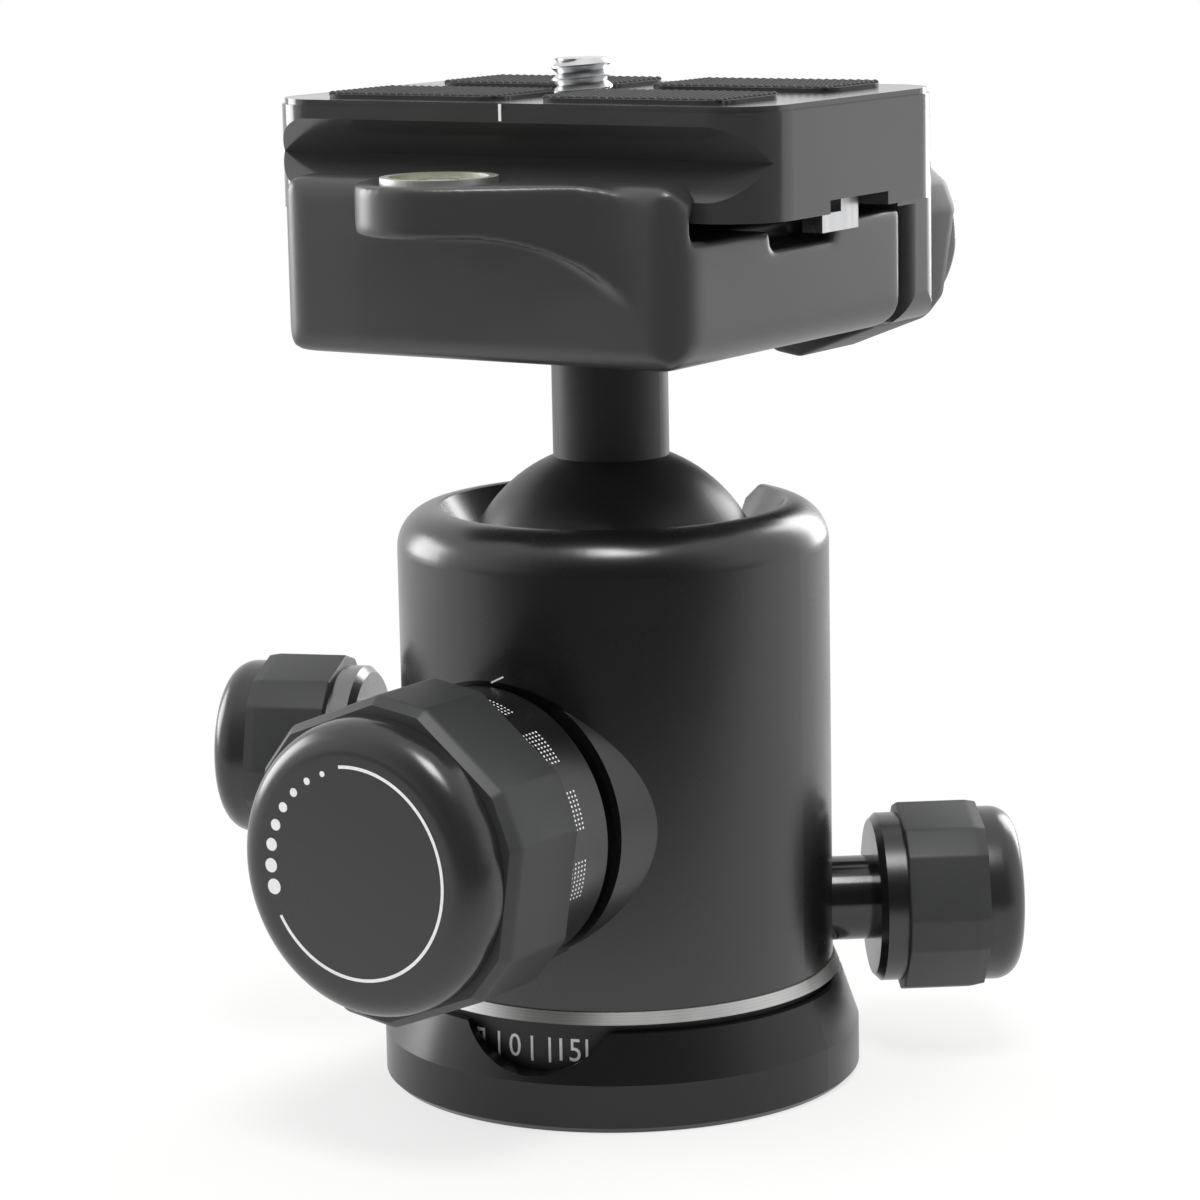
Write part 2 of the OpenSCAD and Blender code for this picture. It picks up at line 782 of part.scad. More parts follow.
module friction_shaft() {
  color(bright_steel) on_axis(friction_azimuth, friction_z)
    small_shaft(plunger_tail + tail_gap, neck_d / 2);
}

module friction_collar() {
  color(satin_black) on_axis(friction_azimuth, friction_z) small_collar();
}

module friction_grip() {
  color(rubber_black) on_axis(friction_azimuth, friction_z) small_grip(friction_clock);
}

module friction_cap() {
  color(soft_black) on_axis(friction_azimuth, friction_z) small_cap();
}

// Brake shoe: pressed into the spindle's groove by the panning lock screw
module pan_shoe() {
  nose = spindle_d / 2 - pan_groove + 0.6;
  color(polymer_white) on_axis(pan_azimuth, pan_z) rod(nose, pan_shoe_tail, screw_r);
}

module pan_shaft() {
  color(bright_steel) on_axis(pan_azimuth, pan_z)
    small_shaft(pan_shoe_tail + tail_gap, pan_neck_d / 2);
}

module pan_collar() {
  color(satin_black) on_axis(pan_azimuth, pan_z) small_collar();
}

module pan_grip() {
  color(rubber_black) on_axis(pan_azimuth, pan_z) small_grip(pan_clock);
}

module pan_cap() {
  color(soft_black) on_axis(pan_azimuth, pan_z) small_cap();
}

// ------------------------------------------------------------------------ ball

module ball_stem() {
  bolt_end = ball_z + bolt_seat;
  color(satin_black) difference() {
    union() {
      translate([0, 0, ball_z]) sphere(r = ball_r, $fn = 96);
      translate([0, 0, ball_z]) cylinder(h = neck_len - face_fit, r = stem_r);
      translate([0, 0, ball_z]) cylinder(h = neck_len + spigot_h, r = spigot_r);
    }
    translate([0, 0, bolt_end]) cylinder(h = clamp_z, r = bolt_r);
  }
}

module bolt_washer() {
  color(bright_steel) difference() {
    translate([0, 0, clamp_z + spigot_h]) cylinder(h = bolt_washer_h, r = bolt_washer_r);
    translate([0, 0, clamp_z]) cylinder(h = clamp_h, r = bolt_r);
  }
}

module clamp_bolt() {
  bolt_end = ball_z + bolt_seat;
  head_z = clamp_z + spigot_h + bolt_washer_h;
  color(soft_black) difference() {
    union() {
      translate([0, 0, bolt_end]) cylinder(h = head_z - bolt_end, r = bolt_r);
      translate([0, 0, head_z]) cylinder(h = bolt_head_h, r = bolt_head_r);
    }
    translate([0, 0, head_z + bolt_head_h - 3]) cylinder(h = 4, r = 2.9, $fn = 6);
  }
}

// ----------------------------------------------------------------------- clamp

// Cross-section of the fixed jaw and the block, in Y and Z
module clamp_section() {
  front = -jaw_front;
  polygon(concat(
    arc([front + edge_round, clamp_z + edge_round], edge_round, 270, 180),
    arc([front + edge_round, jaw_top - edge_round], edge_round, 180, 90),
    [[-jaw_lip_y - dovetail_gap * 1.5, jaw_top],
     [-jaw_wall, jaw_top - (jaw_wall - jaw_lip_y) + dovetail_gap * 1.5],
     [-jaw_wall, clamp_floor],
     [block_rear, clamp_floor]],
    arc([block_rear - edge_round, clamp_z + edge_round], edge_round, 0, -90)));
}

// Front view of the clamp, in X and Z
module clamp_front_view(top) {
  half = clamp_len / 2;
  for (s = [-1, 1]) {
    translate([s * (half - clamp_foot_round), clamp_z + clamp_foot_round])
      circle(r = clamp_foot_round);
    translate([s * (half - jaw_end_round), top - jaw_end_round]) circle(r = jaw_end_round);
  }
  translate([-half, clamp_z + clamp_foot_round])
    square([clamp_len, top - clamp_z - clamp_foot_round - jaw_end_round]);
  translate([-half + clamp_foot_round, clamp_z])
    square([clamp_len - 2 * clamp_foot_round, top - clamp_z - jaw_end_round]);
  translate([-half + jaw_end_round, top - jaw_end_round - 1])
    square([clamp_len - 2 * jaw_end_round, jaw_end_round + 1]);
}

// Points along a cubic curve
function curve(a, b, c, d, n = 10) =
  [for (i = [0:n]) let (t = i / n, u = 1 - t)
    u * u * u * a + 3 * u * u * t * b + 3 * u * t * t * c + t * t * t * d];

// Nose that carries the level: round in plan, sweeping back into the fixed jaw
module nose_plan() {
  c = [level_x - 0.6, level_y + 1];
  front = -jaw_front;
  last = c + nose_r * [cos(285), sin(285)];
  polygon(concat(arc(c, nose_r, 180, 285, 14),
    curve(last, last + 6 * [-sin(285), cos(285)], [nose_end - 9, front - 0.2],
      [nose_end, front + 0.05]),
    [[nose_end, front + 3], [c[0] - nose_r, front + 3]]));
}

module nose_front() {
  left = level_x - 0.6 - nose_r;
  low = nose_top - nose_h;
  turn_x = level_x + 5;
  polygon(concat([[left - 1, low]],
    [for (i = [0:10]) let (x = turn_x + (nose_end - turn_x) * i / 10)
      [x, low - nose_drop * pow(i / 10, 2)]],
    curve([nose_end, nose_top - edge_round], [nose_end - nose_fade / 3, nose_top - edge_round / 3],
      [nose_end - nose_fade / 2, nose_top], [nose_end - nose_fade, nose_top], 6),
    [[left - 1, nose_top]]));
}

module clamp_nose() {
  intersection() {
    translate([0, 0, clamp_z]) linear_extrude(nose_top - clamp_z) nose_plan();
    along_y(-jaw_front - 2 * nose_r - 4, -jaw_front + 3) nose_front();
  }
}

module end_pockets() {
  for (s = [-1, 1])
    translate([s * (clamp_len / 2 - pocket_len / 2 + 0.5), 0, clamp_floor - pocket_h / 2 + 0.5])
      cube([pocket_len + 1, pocket_w, pocket_h + 1], center = true);
}

// Plan of the block: rounded at the front, nearly square at the rear
module block_plan() {
  depth = jaw_front + block_rear;
  over = 10;
  rear_round = 0.6;
  intersection() {
    translate([0, (block_rear - jaw_front + over) / 2])
      soft_rect(clamp_len, depth + over, clamp_corner);
    translate([0, (block_rear - jaw_front - over) / 2])
      soft_rect(clamp_len, depth + over, rear_round);
  }
}

// Plan of the fixed jaw above the floor: rounded at the lip too
module fixed_jaw_plan() {
  over = 10;
  lip_round = 5;
  intersection() {
    block_plan();
    translate([0, (-jaw_lip_y - jaw_front - over) / 2])
      soft_rect(clamp_len, jaw_front - jaw_lip_y + over, lip_round);
  }
}

module clamp_base() {
  color(satin_black) difference() {
    union() {
      translate([clamp_mid, 0, 0]) intersection() {
        along_x(clamp_len) clamp_section();
        union() {
          translate([0, 0, clamp_z - 1]) linear_extrude(clamp_h + 1) block_plan();
          translate([0, 0, clamp_floor - 0.01]) linear_extrude(jaw_rise + 1) fixed_jaw_plan();
        }
        along_y(-jaw_front - 1, block_rear + 1) clamp_front_view(jaw_top);
      }
      clamp_nose();
    }
    translate([clamp_mid, 0, 0]) end_pockets();
    // stem spigot, washer and bolt head
    translate([0, 0, clamp_z - 1]) cylinder(h = clamp_h, r = spigot_r + run_fit);
    translate([0, 0, clamp_z + spigot_h - face_fit]) cylinder(h = clamp_h, r = bolt_pocket_r);
    // clamp screw and guide pins
    on_clamp_axis() {
      rod(block_rear - screw_reach, block_rear + 1, clamp_screw_d / 2 + run_fit);
      for (s = [-1, 1]) translate([0, s * pin_span / 2, 0]) {
        rod(block_rear - pin_seat, block_rear + 1, pin_d / 2);
        rod(block_rear - spring_pocket, block_rear + 1, spring_r + spring_wire + 0.2);
      }
    }
    translate([level_x, level_y, level_z]) cylinder(h = level_depth + 1, r = level_r);
  }
}

module guide_pins() {
  color(bright_steel) on_clamp_axis() for (s = [-1, 1])
    translate([0, s * pin_span / 2, 0])
      rod(block_rear - pin_seat, jaw_inner + pin_free, pin_d / 2);
}

// Springs shut to their solid length, as stacked turns around each pin
module jaw_springs() {
  turns = floor((spring_pocket + jaw_gap - 0.4) / (2 * spring_wire));
  first = block_rear - spring_pocket + spring_wire;
  color(bright_steel) on_clamp_axis() for (s = [-1, 1]) translate([first, s * pin_span / 2, 0])
    rotate([0, 90, 0]) for (i = [0:turns - 1]) translate([0, 0, i * 2 * spring_wire * 0.97])
      rotate_extrude($fn = 32) translate([spring_r, 0]) circle(r = spring_wire, $fn = 16);
}

module level_bezel() {
  color(silver) translate([level_x, level_y, level_z]) difference() {
    cylinder(h = level_depth + level_proud, r = level_r);
    translate([0, 0, 0.6]) cylinder(h = level_depth + 1, r = level_r - 0.9);
  }
}

module level_vial() {
  color(vial_green) translate([level_x, level_y, level_z + 0.6])
    cylinder(h = level_depth + level_proud - 1.4, r = level_r - 0.9);
}

module level_lens() {
  h = 0.6;
  color("#e8eef0") translate([level_x, level_y, level_z + level_depth + level_proud - 0.8])
    cylinder(h = h, r = level_r - 0.9);
}

// Cross-section of the moving jaw, in Y and Z
module jaw_section() {
  polygon(concat(
    arc([jaw_inner + 1, clamp_z + 1], 1, 180, 270, 4),
    arc([jaw_outer - edge_round, clamp_z + edge_round], edge_round, 270, 360),
    arc([jaw_outer - edge_round, jaw_top - edge_round], edge_round, 0, 90),
    [[jaw_lip_y + dovetail_gap * 1.5, jaw_top],
     [jaw_wall_y, jaw_knee_z],
     [jaw_wall_y, clamp_floor + 0.3],
     [jaw_inner, clamp_floor + 0.3]]));
}

// Plan of the moving jaw from its inner face out
module jaw_plan(inner) {
  over = 10;
  outer_round = jaw_t * 0.5;
  inner_round = 1.8;
  intersection() {
    translate([0, (inner + jaw_outer - over) / 2])
      soft_rect(clamp_len, jaw_outer - inner + over, outer_round);
    translate([0, (inner + jaw_outer + over) / 2])
      soft_rect(clamp_len, jaw_outer - inner + over, inner_round);
  }
}

module moving_jaw() {
  lip = jaw_lip_y;
  color(satin_black) difference() {
    translate([clamp_mid, 0, 0]) intersection() {
      along_x(clamp_len) jaw_section();
      union() {
        translate([0, 0, clamp_z - 1]) linear_extrude(clamp_h + 1.3) jaw_plan(jaw_inner);
        translate([0, 0, clamp_floor + 0.29]) linear_extrude(jaw_rise + 1) jaw_plan(lip);
      }
      along_y(lip - 1, jaw_outer + 1) clamp_front_view(jaw_top);
    }
    on_clamp_axis() {
      rod(jaw_inner - 3, jaw_outer + 1, clamp_screw_d / 2 + run_fit);
      for (s = [-1, 1]) translate([0, s * pin_span / 2, 0])
        rod(jaw_inner - 3, jaw_inner + pin_free + 0.6, pin_d / 2 + run_fit);
    }
  }
}

module jaw_washer() {
  color(bright_steel) on_clamp_axis() difference() {
    rod(jaw_outer, jaw_outer + jaw_washer_h, clamp_neck_r + 0.6);
    rod(jaw_outer - 1, jaw_outer + jaw_washer_h + 1, clamp_screw_d / 2 + run_fit);
  }
}

// Places children on the clamp screw's axis: their +X points along +Y
module on_clamp_axis() {
  translate([clamp_mid, 0, clamp_axis_z]) rotate([0, 0, 90]) children();
}

module clamp_screw() {
  color(bright_steel) on_clamp_axis() difference() {
    rod(block_rear - screw_reach + 0.6, clamp_cap_y - 3, clamp_screw_d / 2);
    rod(clamp_cap_y - 8, clamp_cap_y, knob_screw_r - 0.5);
  }
}

module clamp_collar() {
  neck_y = jaw_outer + jaw_washer_h + face_fit;
  edge = 0.7;
  color(satin_black) on_clamp_axis() difference() {
    union() {
      rod(neck_y, clamp_collar_y, clamp_neck_r);
      taper(clamp_collar_y, clamp_collar_y + edge, clamp_collar_d / 2 - edge,
        clamp_collar_d / 2);
      rod(clamp_collar_y + edge, clamp_grip_y, clamp_collar_d / 2);
      rod(clamp_grip_y, clamp_cap_y, clamp_core_r);
    }
    rod(neck_y - 1, clamp_cap_y - 3, clamp_screw_d / 2);
    rod(clamp_cap_y - 3.1, clamp_cap_y + 1, knob_screw_r - 0.5);
    rod(clamp_cap_y - knob_screw_head_h, clamp_cap_y + 1, knob_screw_head_r);
  }
}

module clamp_grip() {
  color(rubber_black) on_clamp_axis()
    grip_form(clamp_grip_y, clamp_cap_y, clamp_grip_d / 2, clamp_cap_d / 2, clamp_core_r,
      clamp_clock, 7);
}

module clamp_cap() {
  color(soft_black) on_clamp_axis()
    cap_form(clamp_cap_y, clamp_end_y, clamp_cap_d / 2, clamp_cap_len * 0.62);
}

module clamp_knob_screw() {
  color(bright_steel) on_clamp_axis() difference() {
    union() {
      rod(clamp_cap_y - 8, clamp_cap_y - knob_screw_head_h, knob_screw_r - 0.5);
      rod(clamp_cap_y - knob_screw_head_h, clamp_cap_y, knob_screw_head_r);
    }
    translate([clamp_cap_y - 1.6, 0, 0]) rotate([0, 90, 0]) cylinder(h = 2, r = 1.5, $fn = 6);
  }
}

// ----------------------------------------------------------------------- plate

// Groove cutter: a 45 degree ridge whose edge is the dovetail's narrowest line
module groove_section() {
  reach = valley_depth + 1;
  polygon([[valley_y, valley_z], [valley_y + reach, valley_z - reach],
    [valley_y + reach, valley_z + reach]]);
}

module screw_slot_form(r, h) {
  for (s = [-1, 1]) translate([s * screw_slot / 2 - s * r, 0, 0]) cylinder(h = h, r = r);
  translate([-screw_slot / 2 + r, -r, 0]) cube([screw_slot - 2 * r, 2 * r, h]);
}

module pad_pair(z, h) {
  len = (plate_len - pad_space) / 2 - pad_end_margin;
  w = (plate_w - pad_space) / 2 - pad_side_margin - 2;
  for (x = [-1, 1]) for (y = [-1, 1])
    translate([x * (pad_space + len) / 2, y * (pad_space / 2 + 2 + w / 2), z])
      linear_extrude(h) soft_rect(len, w, pad_round);
}

module plate() {
  color(satin_black) difference() {
    translate([0, 0, plate_z]) {
      linear_extrude(plate_h - plate_chamfer) soft_rect(plate_len, plate_w, plate_corner);
      translate([0, 0, plate_h - plate_chamfer]) linear_extrude(plate_chamfer)
        soft_rect(plate_len - plate_chamfer, plate_w - plate_chamfer,
          plate_corner - plate_chamfer / 2);
    }
    along_x(plate_len + 2) groove_section();
    mirror([0, 1, 0]) along_x(plate_len + 2) groove_section();
    // slot, recess and clip pocket of the camera screw
    translate([0, 0, plate_z - 1]) screw_slot_form(camera_r + 0.15, plate_h + 2);
    translate([0, 0, plate_z - 1]) linear_extrude(recess_h + 1)
      soft_rect(screw_slot - 2 * camera_r + 2 * recess_r, 2 * recess_r, recess_r - 0.01);
    translate([0, 0, plate_top - clip_pocket_h]) linear_extrude(2)
      soft_rect(screw_slot - 2 * camera_r + 2 * clip_r + 0.6, 2 * clip_r + 0.6, clip_r);
    // end slots for the stops, and their screw holes
    for (s = [-1, 1]) {
      translate([s * (plate_len / 2 - slot_len / 2 + 0.5), 0, plate_z + slot_h / 2 - 0.5])
        cube([slot_len + 1, slot_w, slot_h + 1], center = true);
      translate([s * stop_screw_x(), 0, plate_z]) cylinder(h = 6, r = stop_screw_r, $fn = 24);
    }
    pad_pair(plate_top - pad_sink, 2);
  }
}

function stop_screw_x() = plate_len / 2 - stop_inset - 3;

module rubber_pads() {
  color(rubber_black) pad_pair(plate_top - pad_sink, pad_sink + pad_proud);
}

// Bent stops: one leg lies in the plate's end slot, the other hangs below the plate
module plate_stops() {
  inner = plate_len / 2 - stop_inset;
  color(bright_steel) for (s = [-1, 1]) difference() {
    rotate([0, 0, s > 0 ? 0 : 180]) {
      translate([inner - stop_leg, -stop_w / 2, plate_z]) cube([stop_leg, stop_w, slot_h]);
      translate([inner - 0.01, stop_w / 2 - stop_tongue, plate_z - stop_drop])
        cube([stop_t, stop_tongue, stop_drop + slot_h]);
      translate([inner - 0.01, -stop_w / 2 + 1, plate_z - stop_drop])
        cube([stop_t, stop_w - 1, stop_drop - 0.3]);
    }
    translate([s * stop_screw_x(), 0, plate_z]) mirror([0, 0, 1])
      countersunk_screw(0, stop_screw_len, stop_screw_r, stop_screw_head_r);
  }
}

module stop_screws() {
  color(bright_steel) for (s = [-1, 1]) translate([s * stop_screw_x(), 0, plate_z])
    mirror([0, 0, 1]) difference() {
      countersunk_screw(0, stop_screw_len, stop_screw_r, stop_screw_head_r);
      translate([0, 0, -0.7]) cylinder(h = 1, r = 0.8, $fn = 6);
    }
}

module camera_screw() {
  head_z = plate_z + recess_h - camera_head_h - 0.1;
  top = plate_top + camera_screw_h;
  clip_z = plate_top - clip_pocket_h + 0.1;
  color(bright_steel) translate([camera_screw_x, 0, 0]) difference() {
    union() {
      translate([0, 0, head_z]) cylinder(h = camera_head_h, r = camera_head_r);
      translate([0, 0, head_z]) cylinder(h = clip_z - head_z, r = camera_r);
      translate([0, 0, clip_z]) cylinder(h = clip_h, r = camera_neck_r);
      translate([0, 0, clip_z + clip_h]) cylinder(h = top - 0.5 - clip_z - clip_h, r = camera_r);
      translate([0, 0, top - 0.5]) cylinder(h = 0.5, r1 = camera_r, r2 = camera_r - 0.5);
    }
    translate([-camera_head_r, -0.8, head_z - 1]) cube([2 * camera_head_r, 1.6, 2.4]);
  }
}

module screw_clip() {
  clip_z = plate_top - clip_pocket_h + 0.1;
  color(bright_steel) translate([camera_screw_x, 0, clip_z]) difference() {
    cylinder(h = clip_h, r = clip_r);
    translate([0, 0, -1]) cylinder(h = 3, r = camera_neck_r);
    translate([0, -1.3, -1]) cube([clip_r + 1, 2.6, 3]);
  }
}

// -------------------------------------------------------------------- assembly

pan_base();
thread_bush();
retainer_plate();
retainer_screws();
slip_washer();
trim_ring();
degree_drum();
drum_screws();
body_shell();
ball_seat();
cup_springs();
pressure_cup();
wedge_plunger();
lock_shaft();
lock_collar();
lock_grip();
lock_cap();
lock_knob_screw();
friction_plunger();
friction_shaft();
friction_collar();
friction_grip();
friction_cap();
pan_shoe();
pan_shaft();
pan_collar();
pan_grip();
pan_cap();
ball_stem();
clamp_bolt();
bolt_washer();
clamp_base();
guide_pins();
jaw_springs();
level_bezel();
level_vial();
level_lens();
moving_jaw();
jaw_washer();
clamp_screw();
clamp_collar();
clamp_grip();
clamp_cap();
clamp_knob_screw();
plate();
rubber_pads();
plate_stops();
stop_screws();
camera_screw();
screw_clip();
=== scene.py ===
# %% [markdown]
# A tripod ball head, dressed for a studio picture. Most metal parts come from the packed
# model as they are. This script gives every part its finish, and models the pieces whose
# look depends on fine form: the clamp's soft body, the knobs' grips and caps, the printed
# scales, the studded pads, the camera screw's thread and the bubble level. Everything is
# in metres, in the model's own frame: +Z is up, the dovetail lies along X, and the
# clamp's knob points along +Y.

import json
import math

import bmesh
import bpy
from mathutils import Matrix, Vector

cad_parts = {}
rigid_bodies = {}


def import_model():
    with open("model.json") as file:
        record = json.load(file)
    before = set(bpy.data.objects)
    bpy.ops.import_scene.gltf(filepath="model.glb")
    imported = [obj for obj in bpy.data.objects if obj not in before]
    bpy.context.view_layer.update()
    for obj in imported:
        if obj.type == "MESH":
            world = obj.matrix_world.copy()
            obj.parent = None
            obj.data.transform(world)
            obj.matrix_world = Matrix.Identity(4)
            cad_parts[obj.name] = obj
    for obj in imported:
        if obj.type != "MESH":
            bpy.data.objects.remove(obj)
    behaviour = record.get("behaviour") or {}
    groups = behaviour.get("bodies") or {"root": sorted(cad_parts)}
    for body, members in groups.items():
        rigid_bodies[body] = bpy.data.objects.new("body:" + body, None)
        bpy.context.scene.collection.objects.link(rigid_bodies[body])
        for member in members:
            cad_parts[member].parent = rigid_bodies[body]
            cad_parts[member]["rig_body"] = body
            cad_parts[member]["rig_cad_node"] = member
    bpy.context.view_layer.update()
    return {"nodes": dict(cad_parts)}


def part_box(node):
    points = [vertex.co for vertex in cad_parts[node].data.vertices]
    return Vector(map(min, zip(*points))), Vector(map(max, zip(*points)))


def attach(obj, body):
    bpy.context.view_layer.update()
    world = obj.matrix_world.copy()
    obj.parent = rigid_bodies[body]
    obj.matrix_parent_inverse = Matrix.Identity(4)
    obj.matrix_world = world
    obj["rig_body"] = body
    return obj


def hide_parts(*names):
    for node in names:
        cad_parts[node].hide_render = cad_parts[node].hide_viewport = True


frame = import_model()
MM = 0.001
NEAR = 1e-6  # how close two heights in metres count as the same

# %% [markdown]
# An operator works on whatever is selected, and the import leaves every part selected.
# So each step begins by selecting nothing. In edit mode, faces and edges are picked by a
# rule on their place or direction, the way a hand would pick them by eye.


# %% Selection helpers
def select_nothing():
    if bpy.context.object and bpy.context.object.mode != "OBJECT":
        bpy.ops.object.mode_set(mode="OBJECT")
    bpy.ops.object.select_all(action="DESELECT")


def only(piece):
    select_nothing()
    piece.select_set(True)
    bpy.context.view_layer.objects.active = piece
    return piece


def edit(piece, kind="FACE"):
    only(piece)
    bpy.ops.object.mode_set(mode="EDIT")
    bpy.ops.mesh.select_mode(type=kind)
    bpy.ops.mesh.select_all(action="DESELECT")


def pick_faces(rule):
    """Selects the faces whose centre c and normal n satisfy the rule."""
    bpy.ops.mesh.select_mode(type="FACE")
    bpy.ops.mesh.select_all(action="DESELECT")
    mesh = bmesh.from_edit_mesh(bpy.context.object.data)
    found = [f for f in mesh.faces if rule(f.calc_center_median(), f.normal)]
    for face in found:
        face.select_set(True)
    bmesh.update_edit_mesh(bpy.context.object.data)
    return len(found)


def pick_edges(rule):
    """Selects the edges whose two ends a and b satisfy the rule."""
    bpy.ops.mesh.select_mode(type="EDGE")
    bpy.ops.mesh.select_all(action="DESELECT")
    mesh = bmesh.from_edit_mesh(bpy.context.object.data)
    found = [e for e in mesh.edges if rule(e.verts[0].co, e.verts[1].co)]
    for edge in found:
        edge.select_set(True)
    bmesh.update_edit_mesh(bpy.context.object.data)
    return len(found)


def leave_edit():
    bpy.ops.object.mode_set(mode="OBJECT")


def rename(piece, name):
    piece.name = name
    piece.data.name = name
    return piece


def settle(piece, place=None):
    """Moves a finished piece to its place and writes the place into its mesh."""
    only(piece)
    if place is not None:
        piece.matrix_world = place @ piece.matrix_world
    bpy.ops.object.transform_apply(location=True, rotation=True, scale=True)
    return piece


def smooth(piece, degrees=35):
    only(piece)
    bpy.ops.object.shade_smooth_by_angle(angle=math.radians(degrees))


def cad_copy(node, name):
    """A merged copy of a CAD node, free to be worked on."""
    only(frame["nodes"][node])
    bpy.ops.object.duplicate()
    copy = rename(bpy.context.object, name)
    bpy.ops.object.parent_clear(type="CLEAR_KEEP_TRANSFORM")
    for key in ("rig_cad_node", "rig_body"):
        del copy[key]
    edit(copy)
    bpy.ops.mesh.select_all(action="SELECT")
    bpy.ops.mesh.remove_doubles(threshold=0.0005 * MM)
    leave_edit()
    return copy


def coated(piece, finish):
    """Gives a piece one finish, in place of any that it had."""
    piece.data.materials.clear()
    piece.data.materials.append(finish)


def joined(pieces, name):
    select_nothing()
    for piece in pieces:
        piece.select_set(True)
    bpy.context.view_layer.objects.active = pieces[0]
    bpy.ops.object.join()
    return rename(pieces[0], name)


# %% [markdown]
# Each knob turns on its own axis. A knob is easiest to model standing upright at the
# origin, with its axis along Z. A frame then carries it to its place: its local Z becomes
# the outward axis, its local Y stays up, and its local X runs sideways.


# %% Knob axes
def knob_frame(azimuth, x, height):
    turn = math.radians(azimuth)
    out = Vector((math.cos(turn), math.sin(turn), 0))
    side = Vector((-math.sin(turn), math.cos(turn), 0))
    up = Vector((0, 0, 1))
    matrix = Matrix((side, up, out)).transposed().to_4x4()
    matrix.translation = Vector((x, 0, height))
    return matrix


LOCK = knob_frame(azimuth=-91, x=0, height=31.1 * MM)
FRICTION = knob_frame(azimuth=200, x=0, height=33.6 * MM)
PAN = knob_frame(azimuth=37, x=0, height=17.2 * MM)
CLAMP = knob_frame(azimuth=90, x=-0.9 * MM, height=84.55 * MM)


def span(node, place):
    """Lowest and highest reach of a CAD node along a knob's axis."""
    back = place.inverted()
    ends = [(back @ v.co).z for v in frame["nodes"][node].data.vertices]
    return min(ends), max(ends)


def reach(node, place):
    """Largest distance of a CAD node from a knob's axis."""
    back = place.inverted()
    return max((back @ v.co).xy.length for v in frame["nodes"][node].data.vertices)


print("lock knob's axis:", [round(part, 3) for part in LOCK.col[2].xyz])


# %% [markdown]
# The finishes come next, and none of them is one flat colour. A finish is a tree of nodes.
# Each helper below adds one thing to the tree: noise, a change of range, a sum, a tone
# that varies a little, or a small bump.


# %% Shader helpers
def shader(name):
    material = bpy.data.materials.new(name)
    material.use_nodes = True
    tree = material.node_tree
    surface = tree.nodes["Principled BSDF"]
    return material, tree, surface


def noise(tree, scale, detail=2):
    """Noise in the piece's own coordinates. A larger scale gives a finer grain."""
    where = tree.nodes.new("ShaderNodeTexCoord")
    cloud = tree.nodes.new("ShaderNodeTexNoise")
    cloud.inputs["Scale"].default_value = scale
    cloud.inputs["Detail"].default_value = detail
    tree.links.new(where.outputs["Object"], cloud.inputs["Vector"])
    return cloud.outputs["Fac"]


def remap(tree, value, start, end, given=(0, 1), curve="LINEAR"):
    """Turns a value that runs over the given range into one from start to end."""
    change = tree.nodes.new("ShaderNodeMapRange")
    change.interpolation_type = curve
    change.inputs["From Min"].default_value = given[0]
    change.inputs["From Max"].default_value = given[1]
    change.inputs["To Min"].default_value = start
    change.inputs["To Max"].default_value = end
    tree.links.new(value, change.inputs["Value"])
    return change.outputs["Result"]


def maths(tree, operation, first, second):
    """One operation on two values, each a number or another node's output."""
    step = tree.nodes.new("ShaderNodeMath")
    step.operation = operation
    for socket, value in zip(step.inputs, (first, second)):
        if isinstance(value, float):
            socket.default_value = value
        else:
            tree.links.new(value, socket)
    return step.outputs["Value"]


def tint(tree, surface, colour, amount):
    """The surface's colour, made a little lighter or darker by the amount."""
    scaled = tree.nodes.new("ShaderNodeVectorMath")
    scaled.operation = "SCALE"
    scaled.inputs[0].default_value = colour
    tree.links.new(amount, scaled.inputs["Scale"])
    tree.links.new(scaled.outputs["Vector"], surface.inputs["Base Color"])


def bump(tree, surface, height, strength, depth):
    """A shallow relief. It only bends the shading, so it has no say in the outline."""
    relief = tree.nodes.new("ShaderNodeBump")
    relief.inputs["Strength"].default_value = strength
    relief.inputs["Distance"].default_value = depth
    tree.links.new(height, relief.inputs["Height"])
    tree.links.new(relief.outputs["Normal"], surface.inputs["Normal"])


# %% [markdown]
# Two kinds of finish cover nearly all of the part. Anodised aluminium is nearly black, with
# a very fine grain and slight changes in gloss, and rubber is duller, with a coarser
# grain. Turned steel and brass carry fine rings instead.


# %% Finishes
BROAD_SCALE = 90  # slow changes of tone and gloss over a whole piece
STAIN_SCALE = 400  # quicker changes of gloss on turned metal
TURNED_CHANGE = 0.07


def grain_finish(name, colour, rough, grain=0.5, depth=0.01, tone=0.10,
                 rough_change=0.025, specular=0.5):
    """A finish with a grain of the given size and depth, both in millimetres."""
    material, tree, surface = shader(name)
    surface.inputs["Specular IOR Level"].default_value = specular
    fine = noise(tree, 1 / (grain * MM), detail=3)
    broad = noise(tree, BROAD_SCALE, detail=4)
    tint(tree, surface, colour, remap(tree, broad, 1 - tone, 1 + tone))
    gloss = remap(tree, broad, rough - rough_change, rough + rough_change, given=(0.3, 0.7))
    tree.links.new(gloss, surface.inputs["Roughness"])
    bump(tree, surface, fine, 0.6, depth * MM)
    return material


